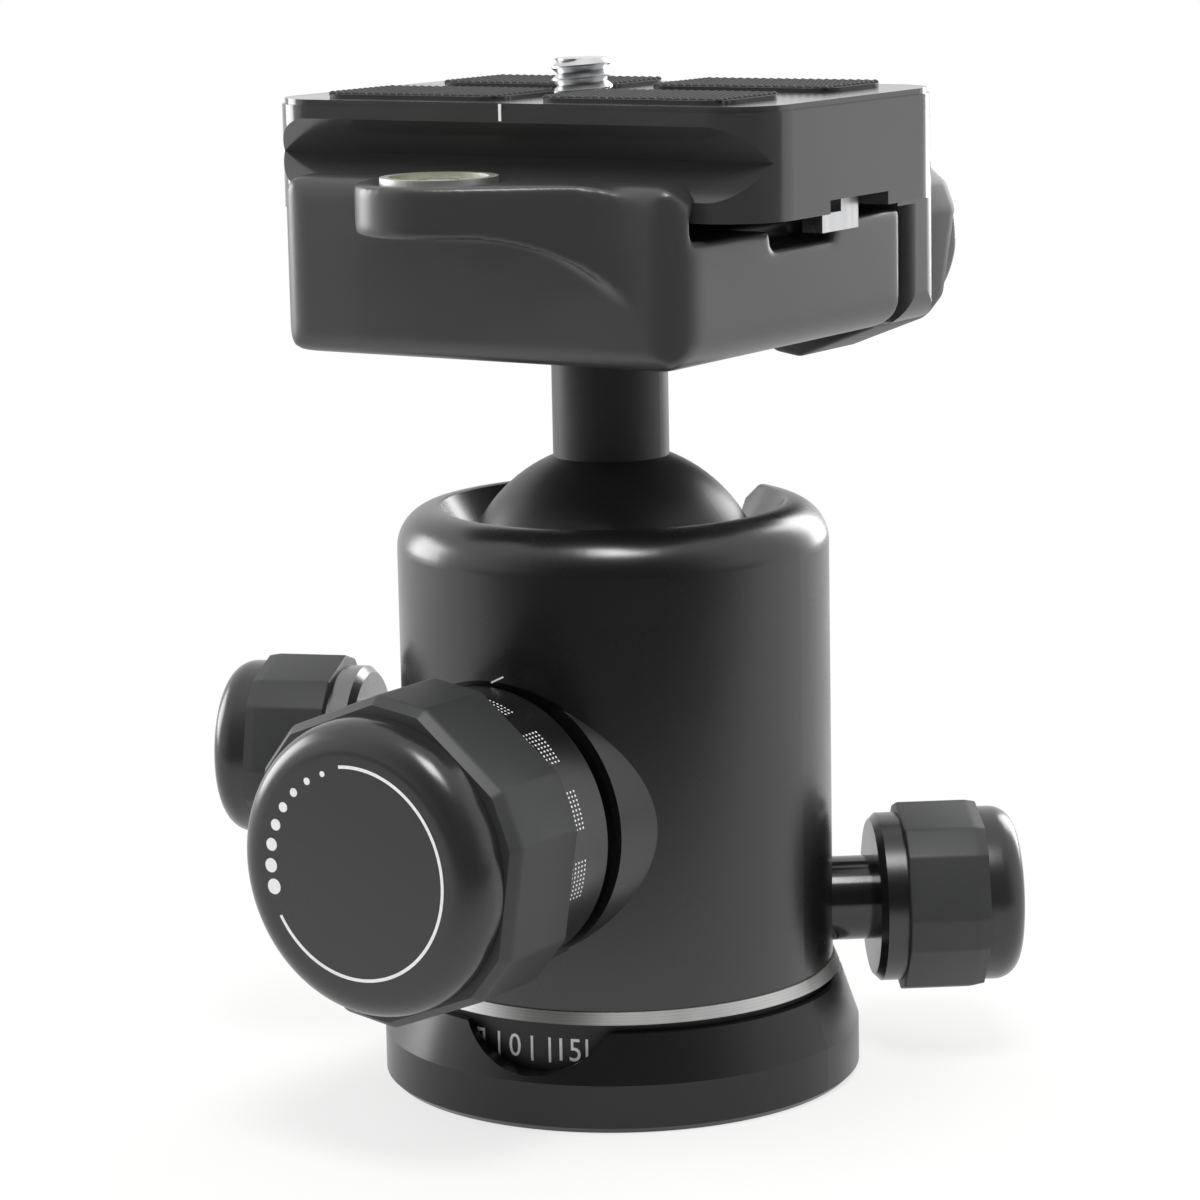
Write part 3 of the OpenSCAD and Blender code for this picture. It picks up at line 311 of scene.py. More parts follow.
def turned_finish(name, colour, rough, place=None, ring=0.12, depth=0.004):
    """Turned metal: fine rings round an axis, drawn as bands by the distance from it."""
    material, tree, surface = shader(name)
    surface.inputs["Metallic"].default_value = 1.0
    where = tree.nodes.new("ShaderNodeTexCoord")
    stretch = tree.nodes.new("ShaderNodeMapping")
    stretch.vector_type = "TEXTURE"
    if place is not None:
        stretch.inputs["Location"].default_value = place.translation
        stretch.inputs["Rotation"].default_value = place.to_euler()
    tree.links.new(where.outputs["Object"], stretch.inputs["Vector"])
    wave = tree.nodes.new("ShaderNodeTexWave")
    wave.wave_type = "RINGS"
    wave.rings_direction = "Z"
    wave.inputs["Scale"].default_value = 0.3 / (ring * MM)
    wave.inputs["Distortion"].default_value = 1.5
    wave.inputs["Detail"].default_value = 2
    tree.links.new(stretch.outputs["Vector"], wave.inputs["Vector"])
    bands = wave.outputs["Fac"]
    stain = noise(tree, STAIN_SCALE, detail=4)
    gloss = remap(tree, stain, rough - TURNED_CHANGE, rough + TURNED_CHANGE)
    tree.links.new(gloss, surface.inputs["Roughness"])
    tint(tree, surface, colour, remap(tree, bands, 0.94, 1.04))
    bump(tree, surface, bands, 0.4, depth * MM)
    return material


anodised = grain_finish("black anodised", (0.006, 0.0061, 0.0059), 0.27,
                        grain=0.3, depth=0.004, specular=0.8)
base_black = grain_finish("base black", (0.006, 0.0061, 0.006), 0.3,
                          grain=0.3, depth=0.004, specular=0.45)
neck_black = grain_finish("polished black", (0.006, 0.006, 0.006), 0.15,
                          grain=0.3, depth=0.002, specular=0.7)
clamp_black = grain_finish("clamp black", (0.034, 0.0341, 0.034), 0.34,
                           grain=0.25, depth=0.006, specular=0.7)
plate_black = grain_finish("plate black", (0.032, 0.0321, 0.032), 0.17,
                           grain=0.25, depth=0.004, specular=0.8)
ball_black = grain_finish("ball black", (0.022, 0.022, 0.022), 0.38,
                          grain=0.25, depth=0.003, specular=0.4)
scale_black = grain_finish("scale black", (0.012, 0.012, 0.013), 0.5,
                           grain=0.3, depth=0.004)
cap_black = grain_finish("cap black", (0.020, 0.020, 0.020), 0.24,
                         grain=0.35, depth=0.003, specular=0.6)
grip_rubber = grain_finish("grip rubber", (0.030, 0.031, 0.0315), 0.5,
                           grain=0.35, depth=0.006)
pad_rubber = grain_finish("pad rubber", (0.022, 0.0225, 0.022), 0.6,
                          grain=0.3, depth=0.01)
polymer = grain_finish("polymer", (0.72, 0.71, 0.67), 0.5,
                       grain=0.6, depth=0.01, tone=0.04)
steel = turned_finish("turned steel", (0.62, 0.63, 0.64), 0.3)
ring_steel = turned_finish("ring steel", (0.60, 0.60, 0.585), 0.46)
collar_steel = turned_finish("collar steel", (0.20, 0.20, 0.205), 0.26, place=FRICTION)
brass = turned_finish("brass", (0.72, 0.55, 0.27), 0.32)
print("finishes:", len(bpy.data.materials))

NODE_FINISH = {
    base_black: ["pan_base"],
    anodised: ["body_shell", "lock_collar", "pan_collar", "clamp_collar"],
    clamp_black: ["clamp_base", "moving_jaw"],
    plate_black: ["plate"],
    ball_black: ["ball_stem", "clamp_bolt"],
    scale_black: ["degree_drum"],
    cap_black: ["lock_cap", "friction_cap", "pan_cap", "clamp_cap"],
    grip_rubber: ["lock_grip", "friction_grip", "pan_grip", "clamp_grip"],
    pad_rubber: ["rubber_pads"],
    polymer: ["slip_washer", "ball_seat", "pressure_cup", "pan_shoe"],
    neck_black: ["pan_shaft", "lock_shaft", "friction_shaft"],
    steel: ["retainer_plate", "retainer_screws", "drum_screws", "cup_springs",
            "wedge_plunger", "lock_knob_screw", "friction_plunger",
            "bolt_washer", "guide_pins", "jaw_springs",
            "jaw_washer", "clamp_screw", "clamp_knob_screw", "stop_screws",
            "screw_clip", "camera_screw", "plate_stops"],
    ring_steel: ["trim_ring", "level_bezel"],
    brass: ["thread_bush"],
    collar_steel: ["friction_collar"],
}
for finish, nodes in NODE_FINISH.items():
    for name in nodes:
        coated(frame["nodes"][name], finish)

# %% [markdown]
# The clamp's body is bead-blasted, and its nose runs into the jaw without a sharp line.
# Voxel remesh turns a copy of the CAD body into an even skin of small quads, and smoothing
# that skin melts every edge by about a millimetre, as blasting and anodising leave it.


# %% Soft clamp body
def softened(node, name, voxel, passes, body, finish):
    piece = cad_copy(node, name)
    only(piece)
    skin = piece.modifiers.new("skin", "REMESH")
    skin.mode = "VOXEL"
    skin.voxel_size = voxel
    skin.use_smooth_shade = True
    melt = piece.modifiers.new("melt", "SMOOTH")
    melt.factor = 0.5
    melt.iterations = passes
    for modifier in ("skin", "melt"):
        bpy.ops.object.modifier_apply(modifier=modifier)
    bpy.ops.object.shade_smooth()
    coated(piece, finish)
    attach(piece, body)
    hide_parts(node)
    print(name, "quads", len(piece.data.polygons))
    return piece


softened("clamp_base", "clamp_base_soft", voxel=0.33 * MM, passes=24, body="clamp",
         finish=clamp_black)

# %% [markdown]
# The caps are turned discs with a generous rounding at the outer edge. A cylinder gives
# the blank, and a bevel with many segments rounds its rim. Insets then ring the flat face,
# so that it shades evenly.


# %% Knob caps
def round_cap(name, node, place, body, edge):
    low, high = span(node, place)
    radius = reach(node, place)
    select_nothing()
    bpy.ops.mesh.primitive_cylinder_add(
        vertices=96, radius=radius, depth=high - low, location=(0, 0, (low + high) / 2))
    piece = settle(rename(bpy.context.object, name))
    edit(piece)
    rim = pick_edges(lambda a, b: min(a.z, b.z) > high - NEAR and a.xy.length > radius * 0.99)
    bpy.ops.mesh.bevel(offset=edge, offset_pct=0, segments=12, profile=0.5, affect="EDGES")
    pick_faces(lambda c, n: n.z > 0.999 and c.z > high - NEAR)
    bpy.ops.mesh.inset(thickness=0.25 * MM, depth=0)
    bpy.ops.mesh.inset(thickness=radius * 0.4, depth=0)
    leave_edit()
    smooth(piece, 30)
    settle(piece, place)
    piece.data.materials.append(cap_black)
    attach(piece, body)
    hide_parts(node)
    print(name, "radius", round(radius / MM, 2), "rim edges", rim)
    return piece


round_cap("lock_cap_face", "lock_cap", LOCK, "lock_knob", edge=3.2 * MM)
round_cap("friction_cap_face", "friction_cap", FRICTION, "friction_knob", edge=2.6 * MM)
round_cap("pan_cap_face", "pan_cap", PAN, "pan_knob", edge=2.6 * MM)
round_cap("clamp_cap_face", "clamp_cap", CLAMP, "clamp_knob", edge=1.7 * MM)

# %% [markdown]
# A grip is a hexagon whose corners are cut away. So it starts as a six-sided cylinder, and
# one bevel cuts its upright edges. The front is drawn in towards the cap, and a last small
# bevel softens every edge as moulded rubber has it.


# %% Rubber grips
def moulded_grip(name, node, place, body, corner_r, half_flat, clock, lead, front_r, soft):
    """half_flat and clock are in degrees: half the width of a cut corner, and its turn."""
    low, high = span(node, place)
    flat_r = corner_r * math.cos(math.radians(30 - half_flat))
    sharp_r = flat_r / math.cos(math.radians(30))
    cut = math.sqrt(sharp_r**2 + corner_r**2
                    - 2 * sharp_r * corner_r * math.cos(math.radians(half_flat)))
    length = high - lead - low
    select_nothing()
    bpy.ops.mesh.primitive_cylinder_add(
        vertices=6, radius=sharp_r, depth=length, location=(0, 0, low + length / 2),
        rotation=(0, 0, math.radians(clock + 30)))
    piece = settle(rename(bpy.context.object, name))
    edit(piece)
    pick_edges(lambda a, b: abs(a.z - b.z) > length / 2)
    bpy.ops.mesh.bevel(offset=cut, offset_pct=0, segments=1, affect="EDGES")
    pick_faces(lambda c, n: n.z > 0.99)
    bpy.ops.mesh.inset(thickness=max(flat_r - front_r, 0.2 * MM), depth=lead)
    pick_edges(lambda a, b: min(a.z, b.z) < high - NEAR)
    bpy.ops.mesh.bevel(offset=soft, offset_pct=0, segments=3, profile=0.5, affect="EDGES")
    leave_edit()
    smooth(piece, 30)
    settle(piece, place)
    piece.data.materials.append(grip_rubber)
    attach(piece, body)
    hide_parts(node)
    print(name, "faces", len(piece.data.polygons), "cut", round(cut / MM, 2))
    return piece


GRIP_LEAD = 1.1 * MM
moulded_grip("lock_grip_rubber", "lock_grip", LOCK, "lock_knob",
             corner_r=16.8 * MM, half_flat=10, clock=21.5,
             lead=GRIP_LEAD, front_r=15.0 * MM, soft=0.3 * MM)
moulded_grip("friction_grip_rubber", "friction_grip", FRICTION, "friction_knob",
             corner_r=10.1 * MM, half_flat=10, clock=47,
             lead=GRIP_LEAD, front_r=9.3 * MM, soft=0.25 * MM)
moulded_grip("pan_grip_rubber", "pan_grip", PAN, "pan_knob",
             corner_r=10.1 * MM, half_flat=10, clock=12,
             lead=GRIP_LEAD, front_r=9.3 * MM, soft=0.25 * MM)
moulded_grip("clamp_grip_rubber", "clamp_grip", CLAMP, "clamp_knob",
             corner_r=13.1 * MM, half_flat=7, clock=39,
             lead=GRIP_LEAD, front_r=11.8 * MM, soft=0.5 * MM)

# %% [markdown]
# The printed marks are thin plates that lie on the surface and follow it. Each sort is
# modelled once and then repeated round its axis by Spin with duplicates, the way marks are
# printed round a dial.


# %% Printed white
print_white, tree, surface = shader("print white")
surface.inputs["Roughness"].default_value = 0.55
speckle_scale = 3000
tone = remap(tree, noise(tree, speckle_scale), 0.72, 0.92)
tree.links.new(tone, surface.inputs["Base Color"])


def repeat_round(copies, degrees):
    """Copies everything selected in edit mode, counter-clockwise round the local Z axis."""
    bpy.ops.mesh.select_all(action="SELECT")
    bpy.ops.mesh.spin(steps=copies, dupli=True, angle=-math.radians(copies * degrees),
                      center=(0, 0, 0), axis=(0, 0, 1))


def printed(piece, body):
    piece.data.materials.append(print_white)
    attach(piece, body)
    print(piece.name, "faces", len(piece.data.polygons))
    return piece


# %% [markdown]
# The lock knob's collar carries blocks of dots, one block to each step of tension. A dot is
# a disc that stands 0.02 mm proud. It is copied along the axis for a row, then round the
# axis for the block, and the block is copied on round the collar.

# %% Tension dots on the collar
collar_r = reach("lock_collar", LOCK)
paint = 0.02 * MM
first_dot = 27.5 * MM
dot_step = 0.55 * MM
dot_r = 0.12 * MM
dot_columns = 5
dot_rows = 9
row_turn = 1.86
block_turn = 28.2
block_count = 12
dots_start = -18.9
select_nothing()
bpy.ops.mesh.primitive_cylinder_add(
    vertices=10, radius=dot_r, depth=2 * paint, rotation=(0, math.pi / 2, 0),
    location=(collar_r, 0, first_dot))
dots = settle(rename(bpy.context.object, "tension_dots"))
edit(dots)
bpy.ops.mesh.select_all(action="SELECT")
for column in range(1, dot_columns):
    bpy.ops.mesh.duplicate()
    bpy.ops.transform.translate(value=(0, 0, dot_step))
repeat_round(dot_rows - 1, row_turn)
repeat_round(block_count - 1, block_turn)
leave_edit()
settle(dots, LOCK @ Matrix.Rotation(math.radians(dots_start), 4, "Z"))
printed(dots, "lock_knob")

# %% [markdown]
# The cap has a printed ring that opens at the upper left. A disc, an inset and a deletion
# give the band, and the faces in the opening are taken out. Solidify gives it the
# thickness of a coat of paint. Dots that grow along the opening show which way to turn.

# %% Ring on the lock cap
cap_face = span("lock_cap", LOCK)[1]
ring_r = 10.6 * MM
turn_dots_r = 10.2 * MM
ring_w = 0.33 * MM
gap_start, gap_end = 98, 210
turn_dot_step = 12
smallest_dot_r = 0.3 * MM
dot_growth = 0.07 * MM
select_nothing()
bpy.ops.mesh.primitive_circle_add(
    vertices=180, radius=ring_r + ring_w / 2, fill_type="NGON", location=(0, 0, cap_face))
ring = settle(rename(bpy.context.object, "lock_ring_print"))
edit(ring)
bpy.ops.mesh.select_all(action="SELECT")
bpy.ops.mesh.inset(thickness=ring_w)
bpy.ops.mesh.delete(type="FACE")
pick_faces(lambda c, n: gap_start < math.degrees(math.atan2(c.y, c.x)) % 360 < gap_end)
bpy.ops.mesh.delete(type="FACE")
leave_edit()
coat = ring.modifiers.new("coat", "SOLIDIFY")
coat.thickness = paint
coat.offset = 1
only(ring)
bpy.ops.object.modifier_apply(modifier="coat")
settle(ring, LOCK)
printed(ring, "lock_knob")

turn_dots = []
turn_dot_angles = range(gap_start + turn_dot_step, gap_end - turn_dot_step // 2, turn_dot_step)
for i, angle in enumerate(turn_dot_angles):
    select_nothing()
    way = math.radians(angle)
    bpy.ops.mesh.primitive_cylinder_add(
        vertices=24, radius=smallest_dot_r + i * dot_growth, depth=paint,
        location=(turn_dots_r * math.cos(way), turn_dots_r * math.sin(way),
                  cap_face + paint / 2))
    turn_dots.append(bpy.context.object)
printed(settle(joined(turn_dots, "lock_turn_dots"), LOCK), "lock_knob")

# %% [markdown]
# The degree scale shows in the window of the base. Every fifth degree has an upright tick,
# and every fifteenth a number in place of it. The numbers are plain digits of Blender's
# own font, made into meshes and laid against the drum one by one.

# %% Degree scale
drum_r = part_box("degree_drum")[1].x
scale_mid = 7.82 * MM
tick_h = 2.65 * MM
tick_w = 0.27 * MM
digit_size = 3.45 * MM
digit_width = 0.88
zero_angle = -86.6
number_step = 15
tick_step = 5
select_nothing()
bpy.ops.mesh.primitive_cube_add(
    size=1, scale=(2 * paint, tick_w, tick_h), location=(drum_r, 0, scale_mid))
ticks = settle(rename(bpy.context.object, "scale_ticks"))
edit(ticks)
repeat_round(1, tick_step)
repeat_round(360 // number_step - 1, number_step)
leave_edit()
settle(ticks, Matrix.Rotation(math.radians(zero_angle + tick_step), 4, "Z"))
printed(ticks, "housing")

upright = Matrix.Rotation(math.pi / 2, 4, "Z") @ Matrix.Rotation(math.pi / 2, 4, "X")
numbers = []
for value in range(0, 360, number_step):
    select_nothing()
    bpy.ops.object.text_add()
    text = bpy.context.object
    text.data.body = str(value)
    text.data.align_x = "CENTER"
    text.data.align_y = "CENTER"
    text.data.size = digit_size
    text.data.resolution_u = 3
    text.data.extrude = 1.5 * paint
    text.matrix_world = (
        Matrix.Rotation(math.radians(zero_angle + value), 4, "Z")
        @ Matrix.Translation((drum_r, 0, scale_mid)) @ upright
        @ Matrix.Diagonal((digit_width, 1, 1, 1)))
    bpy.ops.object.convert(target="MESH")
    bpy.ops.object.transform_apply(location=True, rotation=True, scale=True)
    numbers.append(bpy.context.object)
digits = joined(numbers, "scale_numbers")
edit(digits)
bpy.ops.mesh.select_all(action="SELECT")
bpy.ops.mesh.remove_doubles(threshold=0.002 * MM)
bpy.ops.mesh.normals_make_consistent(inside=False)
leave_edit()
digits.data.materials.clear()
printed(digits, "housing")

# %% [markdown]
# The rubber pads have a studded face, so that a camera doesn't slip. The face of a copy of
# the CAD pads is let down a little, and studs fill the step: one low dome, repeated along
# and across each pad by Array modifiers.

# %% Studded pads
stud_rise = 0.3 * MM
stud_pitch = 0.95 * MM
stud_edge = 0.7 * MM
stud_r = stud_pitch * 0.46
pads = cad_copy("rubber_pads", "pads_sheet")
pad_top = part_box("rubber_pads")[1].z
edit(pads)
pick_faces(lambda c, n: n.z > 0.99 and c.z > pad_top - NEAR)
bpy.ops.transform.translate(value=(0, 0, -stud_rise))
bpy.ops.mesh.separate(type="LOOSE")
leave_edit()
sheets = [o for o in bpy.context.selected_objects if o.type == "MESH"]
fields = []
for sheet in sheets:
    spots = [v.co for v in sheet.data.vertices]
    low = Vector([min(s[i] for s in spots) for i in range(3)])
    high = Vector([max(s[i] for s in spots) for i in range(3)])
    count_x = int((high.x - low.x - 2 * stud_edge) / stud_pitch) + 1
    count_y = int((high.y - low.y - 2 * stud_edge) / stud_pitch) + 1
    middle = (low + high) / 2
    select_nothing()
    bpy.ops.mesh.primitive_uv_sphere_add(
        segments=8, ring_count=6, radius=1,
        location=(middle.x - (count_x - 1) * stud_pitch / 2,
                  middle.y - (count_y - 1) * stud_pitch / 2, pad_top - stud_rise))
    field = rename(bpy.context.object, "stud_field")
    field.scale = (stud_r, stud_r, stud_rise)
    settle(field)
    for axis, count in ((0, count_x), (1, count_y)):
        row = field.modifiers.new("row", "ARRAY")
        row.use_relative_offset = False
        row.use_constant_offset = True
        row.constant_offset_displace = [stud_pitch * (i == axis) for i in range(3)]
        row.count = count
        only(field)
        bpy.ops.object.modifier_apply(modifier="row")
    smooth(field, 60)
    fields.append(field)
sheet = joined(sheets, "pads_sheet")
studs = joined(fields, "pads_studs")
for piece in (sheet, studs):
    coated(piece, pad_rubber)
    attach(piece, "plate_body")
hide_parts("rubber_pads")
print("pads:", len(sheets), "stud faces", len(studs.data.polygons))

# %% [markdown]
# Two more marks: a slanted tick on the body above the lock knob, and a short line at the
# middle of the plate's front edge.

# %% Index marks
index_z = 46.13 * MM
index_turn = -89
index_slant = 26
index_length, index_w = 1.6 * MM, 0.18 * MM
select_nothing()
bpy.ops.mesh.primitive_cube_add(
    size=1, scale=(4 * paint, index_length, index_w),
    rotation=(math.radians(index_slant), 0, 0),
    location=(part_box("body_shell")[1].x, 0, index_z))
index = settle(rename(bpy.context.object, "body_index"))
settle(index, Matrix.Rotation(math.radians(index_turn), 4, "Z"))
printed(index, "housing")

line_x, line_z = 0.2 * MM, 102.9 * MM
line_w, line_h = 0.34 * MM, 1.7 * MM
select_nothing()
bpy.ops.mesh.primitive_cube_add(
    size=1, scale=(line_w, 2 * paint, line_h),
    location=(line_x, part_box("plate")[0].y, line_z))
printed(settle(rename(bpy.context.object, "plate_index")), "plate_body")

# %% [markdown]
# The camera screw has a real thread. Its profile is one V, and a Screw modifier winds it
# up the screw. Two cuts close the winding flat, and an intersection with a chamfered rod
# gives the tip. Below the clip the screw is as the CAD has it, so a copy of that part is
# cut off at the thread and joined on.


# %% Camera screw
def cut_flat(piece, height, keep_above):
    edit(piece)
    bpy.ops.mesh.select_all(action="SELECT")
    bpy.ops.mesh.bisect(plane_co=(0, 0, height), plane_no=(0, 0, 1), use_fill=True,
                        clear_inner=keep_above, clear_outer=not keep_above)
    leave_edit()


screw_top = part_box("camera_screw")[1].z
screw_x = -2.7 * MM
thread_r = 3.175 * MM
root_r = 2.5 * MM
pitch = 1.27 * MM
thread_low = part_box("screw_clip")[1].z + 0.05 * MM
tip_chamfer = 0.55 * MM
weld = 0.002 * MM
turns = int((screw_top - thread_low) / pitch) + 4
profile = ((root_r, 0), (thread_r, 0.42 * pitch), (thread_r, 0.56 * pitch), (root_r, pitch))
select_nothing()
bpy.ops.mesh.primitive_circle_add(vertices=len(profile), radius=thread_r)
thread = rename(bpy.context.object, "camera_screw_thread")
edit(thread, "VERT")
mesh = bmesh.from_edit_mesh(thread.data)
for corner, (radius, rise) in zip(mesh.verts, profile):
    corner.co = (radius, 0, thread_low - 2 * pitch + rise)
bmesh.update_edit_mesh(thread.data)
pick_edges(lambda a, b: max(a.x, b.x) < root_r + 1e-7)
bpy.ops.mesh.delete(type="EDGE")
leave_edit()
wind = thread.modifiers.new("wind", "SCREW")
wind.axis = "Z"
wind.screw_offset = pitch
wind.iterations = turns
wind.steps = 48
wind.use_merge_vertices = True
wind.merge_threshold = weld
only(thread)
bpy.ops.object.modifier_apply(modifier="wind")
cut_flat(thread, thread_low, keep_above=True)
cut_flat(thread, screw_top, keep_above=False)
edit(thread)
bpy.ops.mesh.select_all(action="SELECT")
bpy.ops.mesh.remove_doubles(threshold=weld)
bpy.ops.mesh.normals_make_consistent(inside=False)
leave_edit()

select_nothing()
bpy.ops.mesh.primitive_cylinder_add(
    vertices=96, radius=thread_r + 0.1 * MM, depth=screw_top - thread_low + 2 * MM,
    location=(0, 0, (screw_top + thread_low) / 2 - MM))
blank = settle(rename(bpy.context.object, "thread_blank"))
edit(blank)
pick_edges(lambda a, b: min(a.z, b.z) > screw_top - NEAR)
bpy.ops.mesh.bevel(offset=tip_chamfer, offset_pct=0, segments=1, affect="EDGES")
leave_edit()
turn_down = thread.modifiers.new("turn down", "BOOLEAN")
turn_down.operation = "INTERSECT"
turn_down.object = blank
only(thread)
bpy.ops.object.modifier_apply(modifier="turn down")
bpy.data.objects.remove(blank)
settle(thread, Matrix.Translation((screw_x, 0, 0)))
smooth(thread, 25)

head = cad_copy("camera_screw", "camera_screw_head")
cut_flat(head, thread_low, keep_above=False)
for piece in (thread, head):
    coated(piece, steel)
    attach(piece, "camera_screw_body")
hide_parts("camera_screw")
print("camera screw: thread faces", len(thread.data.polygons), "head", len(head.data.polygons))

# %% [markdown]
# The bubble level is a low dome of clear acrylic over a cell of green liquid. The cell has
# a bubble, and a printed circle under the dome marks its middle.

# %% Bubble level
level_low, level_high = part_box("level_lens")
vial_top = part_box("level_vial")[1].z
level_mid = (level_low + level_high) / 2
level_r = (level_high.x - level_low.x) / 2
dome_rise = 0.75 * MM
dome_r = (level_r**2 + dome_rise**2) / (2 * dome_rise)
circle_r, circle_line = 1.9 * MM, 0.09 * MM
bubble_r = 1.35 * MM
bubble_flatness = 0.12
bubble_x, bubble_y = level_mid.x + 0.3 * MM, level_mid.y - 0.2 * MM

clear, tree, surface = shader("clear acrylic")
surface.inputs["Base Color"].default_value = (0.95, 0.98, 0.96, 1)
surface.inputs["Roughness"].default_value = 0.03
surface.inputs["IOR"].default_value = 1.49
surface.inputs["Transmission Weight"].default_value = 1.0

liquid, tree, surface = shader("level liquid")
cloud_scale = 300
ramp = tree.nodes.new("ShaderNodeValToRGB")
ramp.color_ramp.elements[0].color = (0.58, 0.70, 0.34, 1)
ramp.color_ramp.elements[1].color = (0.68, 0.78, 0.42, 1)
tree.links.new(noise(tree, cloud_scale), ramp.inputs["Fac"])
tree.links.new(ramp.outputs["Color"], surface.inputs["Base Color"])
surface.inputs["Roughness"].default_value = 0.12

select_nothing()
bpy.ops.mesh.primitive_uv_sphere_add(
    segments=96, ring_count=240, radius=dome_r,
    location=(level_mid.x, level_mid.y, level_high.z - dome_r))
dome = settle(rename(bpy.context.object, "level_dome"))
cut_flat(dome, level_high.z - dome_rise, keep_above=True)
smooth(dome, 40)
dome.data.materials.append(clear)
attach(dome, "clamp")
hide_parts("level_lens")

select_nothing()
bpy.ops.mesh.primitive_torus_add(
    major_radius=circle_r, minor_radius=circle_line, major_segments=64, minor_segments=8,
    location=(level_mid.x, level_mid.y, vial_top))
circle = settle(rename(bpy.context.object, "level_circle"))
circle.data.materials.append(scale_black)
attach(circle, "clamp")
select_nothing()
bpy.ops.mesh.primitive_uv_sphere_add(
    segments=32, ring_count=16, radius=bubble_r, location=(bubble_x, bubble_y, vial_top))
bubble = rename(bpy.context.object, "level_bubble")
bubble.scale.z = bubble_flatness
settle(bubble)
smooth(bubble, 60)
bubble.data.materials.append(print_white)
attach(bubble, "clamp")
for node, finish in (("level_vial", liquid), ("level_lens", clear)):
    coated(frame["nodes"][node], finish)
print("level dome radius", round(dome_r / MM, 1), "faces", len(dome.data.polygons))

# %% [markdown]
# The whole stands on a pale studio floor. The floor is white where the camera sees it, and
# keeps a soft share of the shadow near the part. The farther from the part, the smaller
# that share, so the floor runs out into plain white. The room is dark behind the camera,
# and so is the floor on that side, but only to what mirrors it: the black walls of the
# part keep their depth that way.

# %% Floor
DARK_SIDE = (0.54, -0.83, 0.1)
floor_size = 6


def toward_dark(tree, place):
    """How far a place or a direction lies toward the dark side of the room."""
    along = tree.nodes.new("ShaderNodeVectorMath")
    along.operation = "DOT_PRODUCT"
    along.inputs[1].default_value = DARK_SIDE
    tree.links.new(place, along.inputs[0])
    return along.outputs["Value"]


select_nothing()
bpy.ops.mesh.primitive_plane_add(size=floor_size)
floor = rename(bpy.context.object, "studio_floor")
paper, tree, sheet = shader("studio paper")
sheet.inputs["Base Color"].default_value = (0.80, 0.79, 0.77, 1)
sheet.inputs["Roughness"].default_value = 0.9
sheet.inputs["Specular IOR Level"].default_value = 0.1
where = tree.nodes.new("ShaderNodeTexCoord")
ray = tree.nodes.new("ShaderNodeLightPath")

# The floor glows white by itself, less so on the dark side for rays that mirror it.
fall = remap(tree, toward_dark(tree, where.outputs["Object"]), 0.0, 0.95,
             given=(0.05, 0.22), curve="SMOOTHSTEP")
loss = maths(tree, "MULTIPLY", fall, ray.outputs["Is Glossy Ray"])
glow = tree.nodes.new("ShaderNodeEmission")
glow.inputs["Color"].default_value = (1, 1, 1, 1)
tree.links.new(maths(tree, "SUBTRACT", 1.0, loss), glow.inputs["Strength"])

# The share of the glow grows with the distance. Only rays that show the floor get it.
distance = tree.nodes.new("ShaderNodeVectorMath")
distance.operation = "LENGTH"
tree.links.new(where.outputs["Object"], distance.inputs[0])
share = remap(tree, distance.outputs["Value"], 0.72, 1.0,
              given=(0.02, 0.13), curve="SMOOTHSTEP")
seen = maths(tree, "MAXIMUM", ray.outputs["Is Camera Ray"], ray.outputs["Is Glossy Ray"])
through = maths(tree, "MAXIMUM", seen, ray.outputs["Is Transmission Ray"])
blend = tree.nodes.new("ShaderNodeMixShader")
tree.links.new(maths(tree, "MULTIPLY", through, share), blend.inputs["Fac"])
tree.links.new(sheet.outputs["BSDF"], blend.inputs[1])
tree.links.new(glow.outputs["Emission"], blend.inputs[2])
tree.links.new(blend.outputs["Shader"], tree.nodes["Material Output"].inputs["Surface"])
floor.data.materials.append(paper)
print("floor:", floor_size, "m across")

# %% [markdown]
# Light comes from the white room and from three soft boxes. The world is white to the
# camera, and to what passes it on. Behind the camera the room is darker, and black parts
# mirror that dark side in their middle and the white sides along their edges. The box
# overhead gives the highlight on the body's rim, and the other two draw the edges.

# %% World and lights
world = bpy.data.worlds.new("studio")
bpy.context.scene.world = world
world.use_nodes = True
tree = world.node_tree
where = tree.nodes.new("ShaderNodeTexCoord")
ray = tree.nodes.new("ShaderNodeLightPath")
front = toward_dark(tree, where.outputs["Generated"])

# The room that lights the part gets darker toward the dark side.
depth = remap(tree, front, 1.0, 0.08, given=(0.1, 0.95), curve="SMOOTHSTEP")
room = tree.nodes["Background"]
room.inputs["Color"].default_value = (1, 1, 1, 1)
tree.links.new(depth, room.inputs["Strength"])

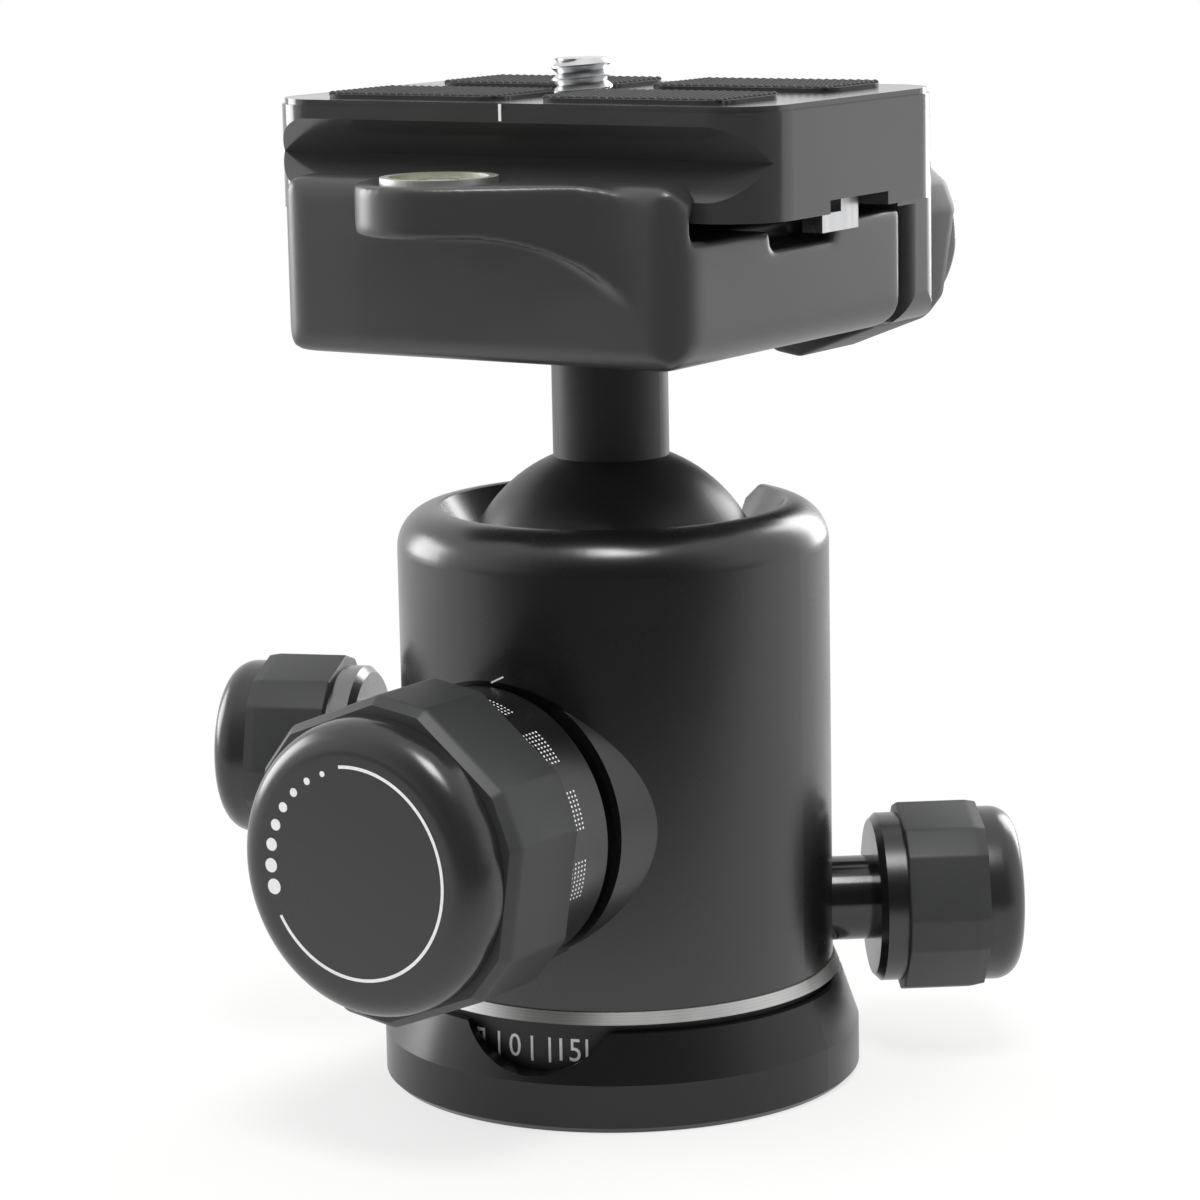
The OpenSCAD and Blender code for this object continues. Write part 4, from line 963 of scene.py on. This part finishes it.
# The camera sees plain white, and what mirrors the room sees it on the bright side.
white = tree.nodes.new("ShaderNodeBackground")
white.inputs["Color"].default_value = (1, 1, 1, 1)
white.inputs["Strength"].default_value = 1.0
seen = maths(tree, "MAXIMUM", ray.outputs["Is Camera Ray"], ray.outputs["Is Transmission Ray"])
mirrored = remap(tree, front, 1.0, 0.0, given=(-0.2, 0.65), curve="SMOOTHSTEP")
glossy = maths(tree, "MULTIPLY", ray.outputs["Is Glossy Ray"], mirrored)
pick = tree.nodes.new("ShaderNodeMixShader")
tree.links.new(maths(tree, "MAXIMUM", seen, glossy), pick.inputs["Fac"])
tree.links.new(room.outputs["Background"], pick.inputs[1])
tree.links.new(white.outputs["Background"], pick.inputs[2])
tree.links.new(pick.outputs["Shader"], tree.nodes["World Output"].inputs["Surface"])


def soft_box(name, place, aim, width, height, power):
    select_nothing()
    bpy.ops.object.light_add(type="AREA", location=place)
    lamp = rename(bpy.context.object, name)
    lamp.data.shape = "RECTANGLE"
    lamp.data.size = width
    lamp.data.size_y = height
    lamp.data.energy = power
    lamp.rotation_euler = (Vector(aim) - Vector(place)).to_track_quat("-Z", "Y").to_euler()
    return lamp


PART_MIDDLE = (0, 0, 0.05)
soft_box("overhead", (0.17, -0.22, 0.58), PART_MIDDLE, width=0.2, height=0.2, power=2.2)
soft_box("left", (-0.6, -0.04, 0.17), PART_MIDDLE, width=0.3, height=0.28, power=1.8)
soft_box("rear right", (0.05, 0.6, 0.25), PART_MIDDLE, width=0.25, height=0.5, power=2.6)
print("soft boxes:", len(bpy.data.lights))

# %% [markdown]
# The camera looks from the front right, a little from above, through a long lens.

# %% Camera
camera_place = Vector((0.2244, -0.3482, 0.1273))
camera_right = Vector((0.84044, 0.54154, -0.01982))
camera_up = Vector((-0.08232, 0.16373, 0.98306))
camera_back = camera_right.cross(camera_up)
lens = bpy.data.cameras.new("camera")
camera = bpy.data.objects.new("camera", lens)
bpy.context.scene.collection.objects.link(camera)
turn = Matrix((camera_right, camera_up, camera_back)).transposed()
camera.matrix_world = Matrix.Translation(camera_place) @ turn.to_4x4()
lens.lens = 119.8
lens.sensor_width = 36
lens.clip_start = 0.01
bpy.context.scene.camera = camera
bpy.context.scene.view_settings.view_transform = "Standard"
print("camera:", round(camera_place.length, 3), "m from the origin, lens", lens.lens, "mm")

# %% [markdown]

# %% Nothing left selected
select_nothing()
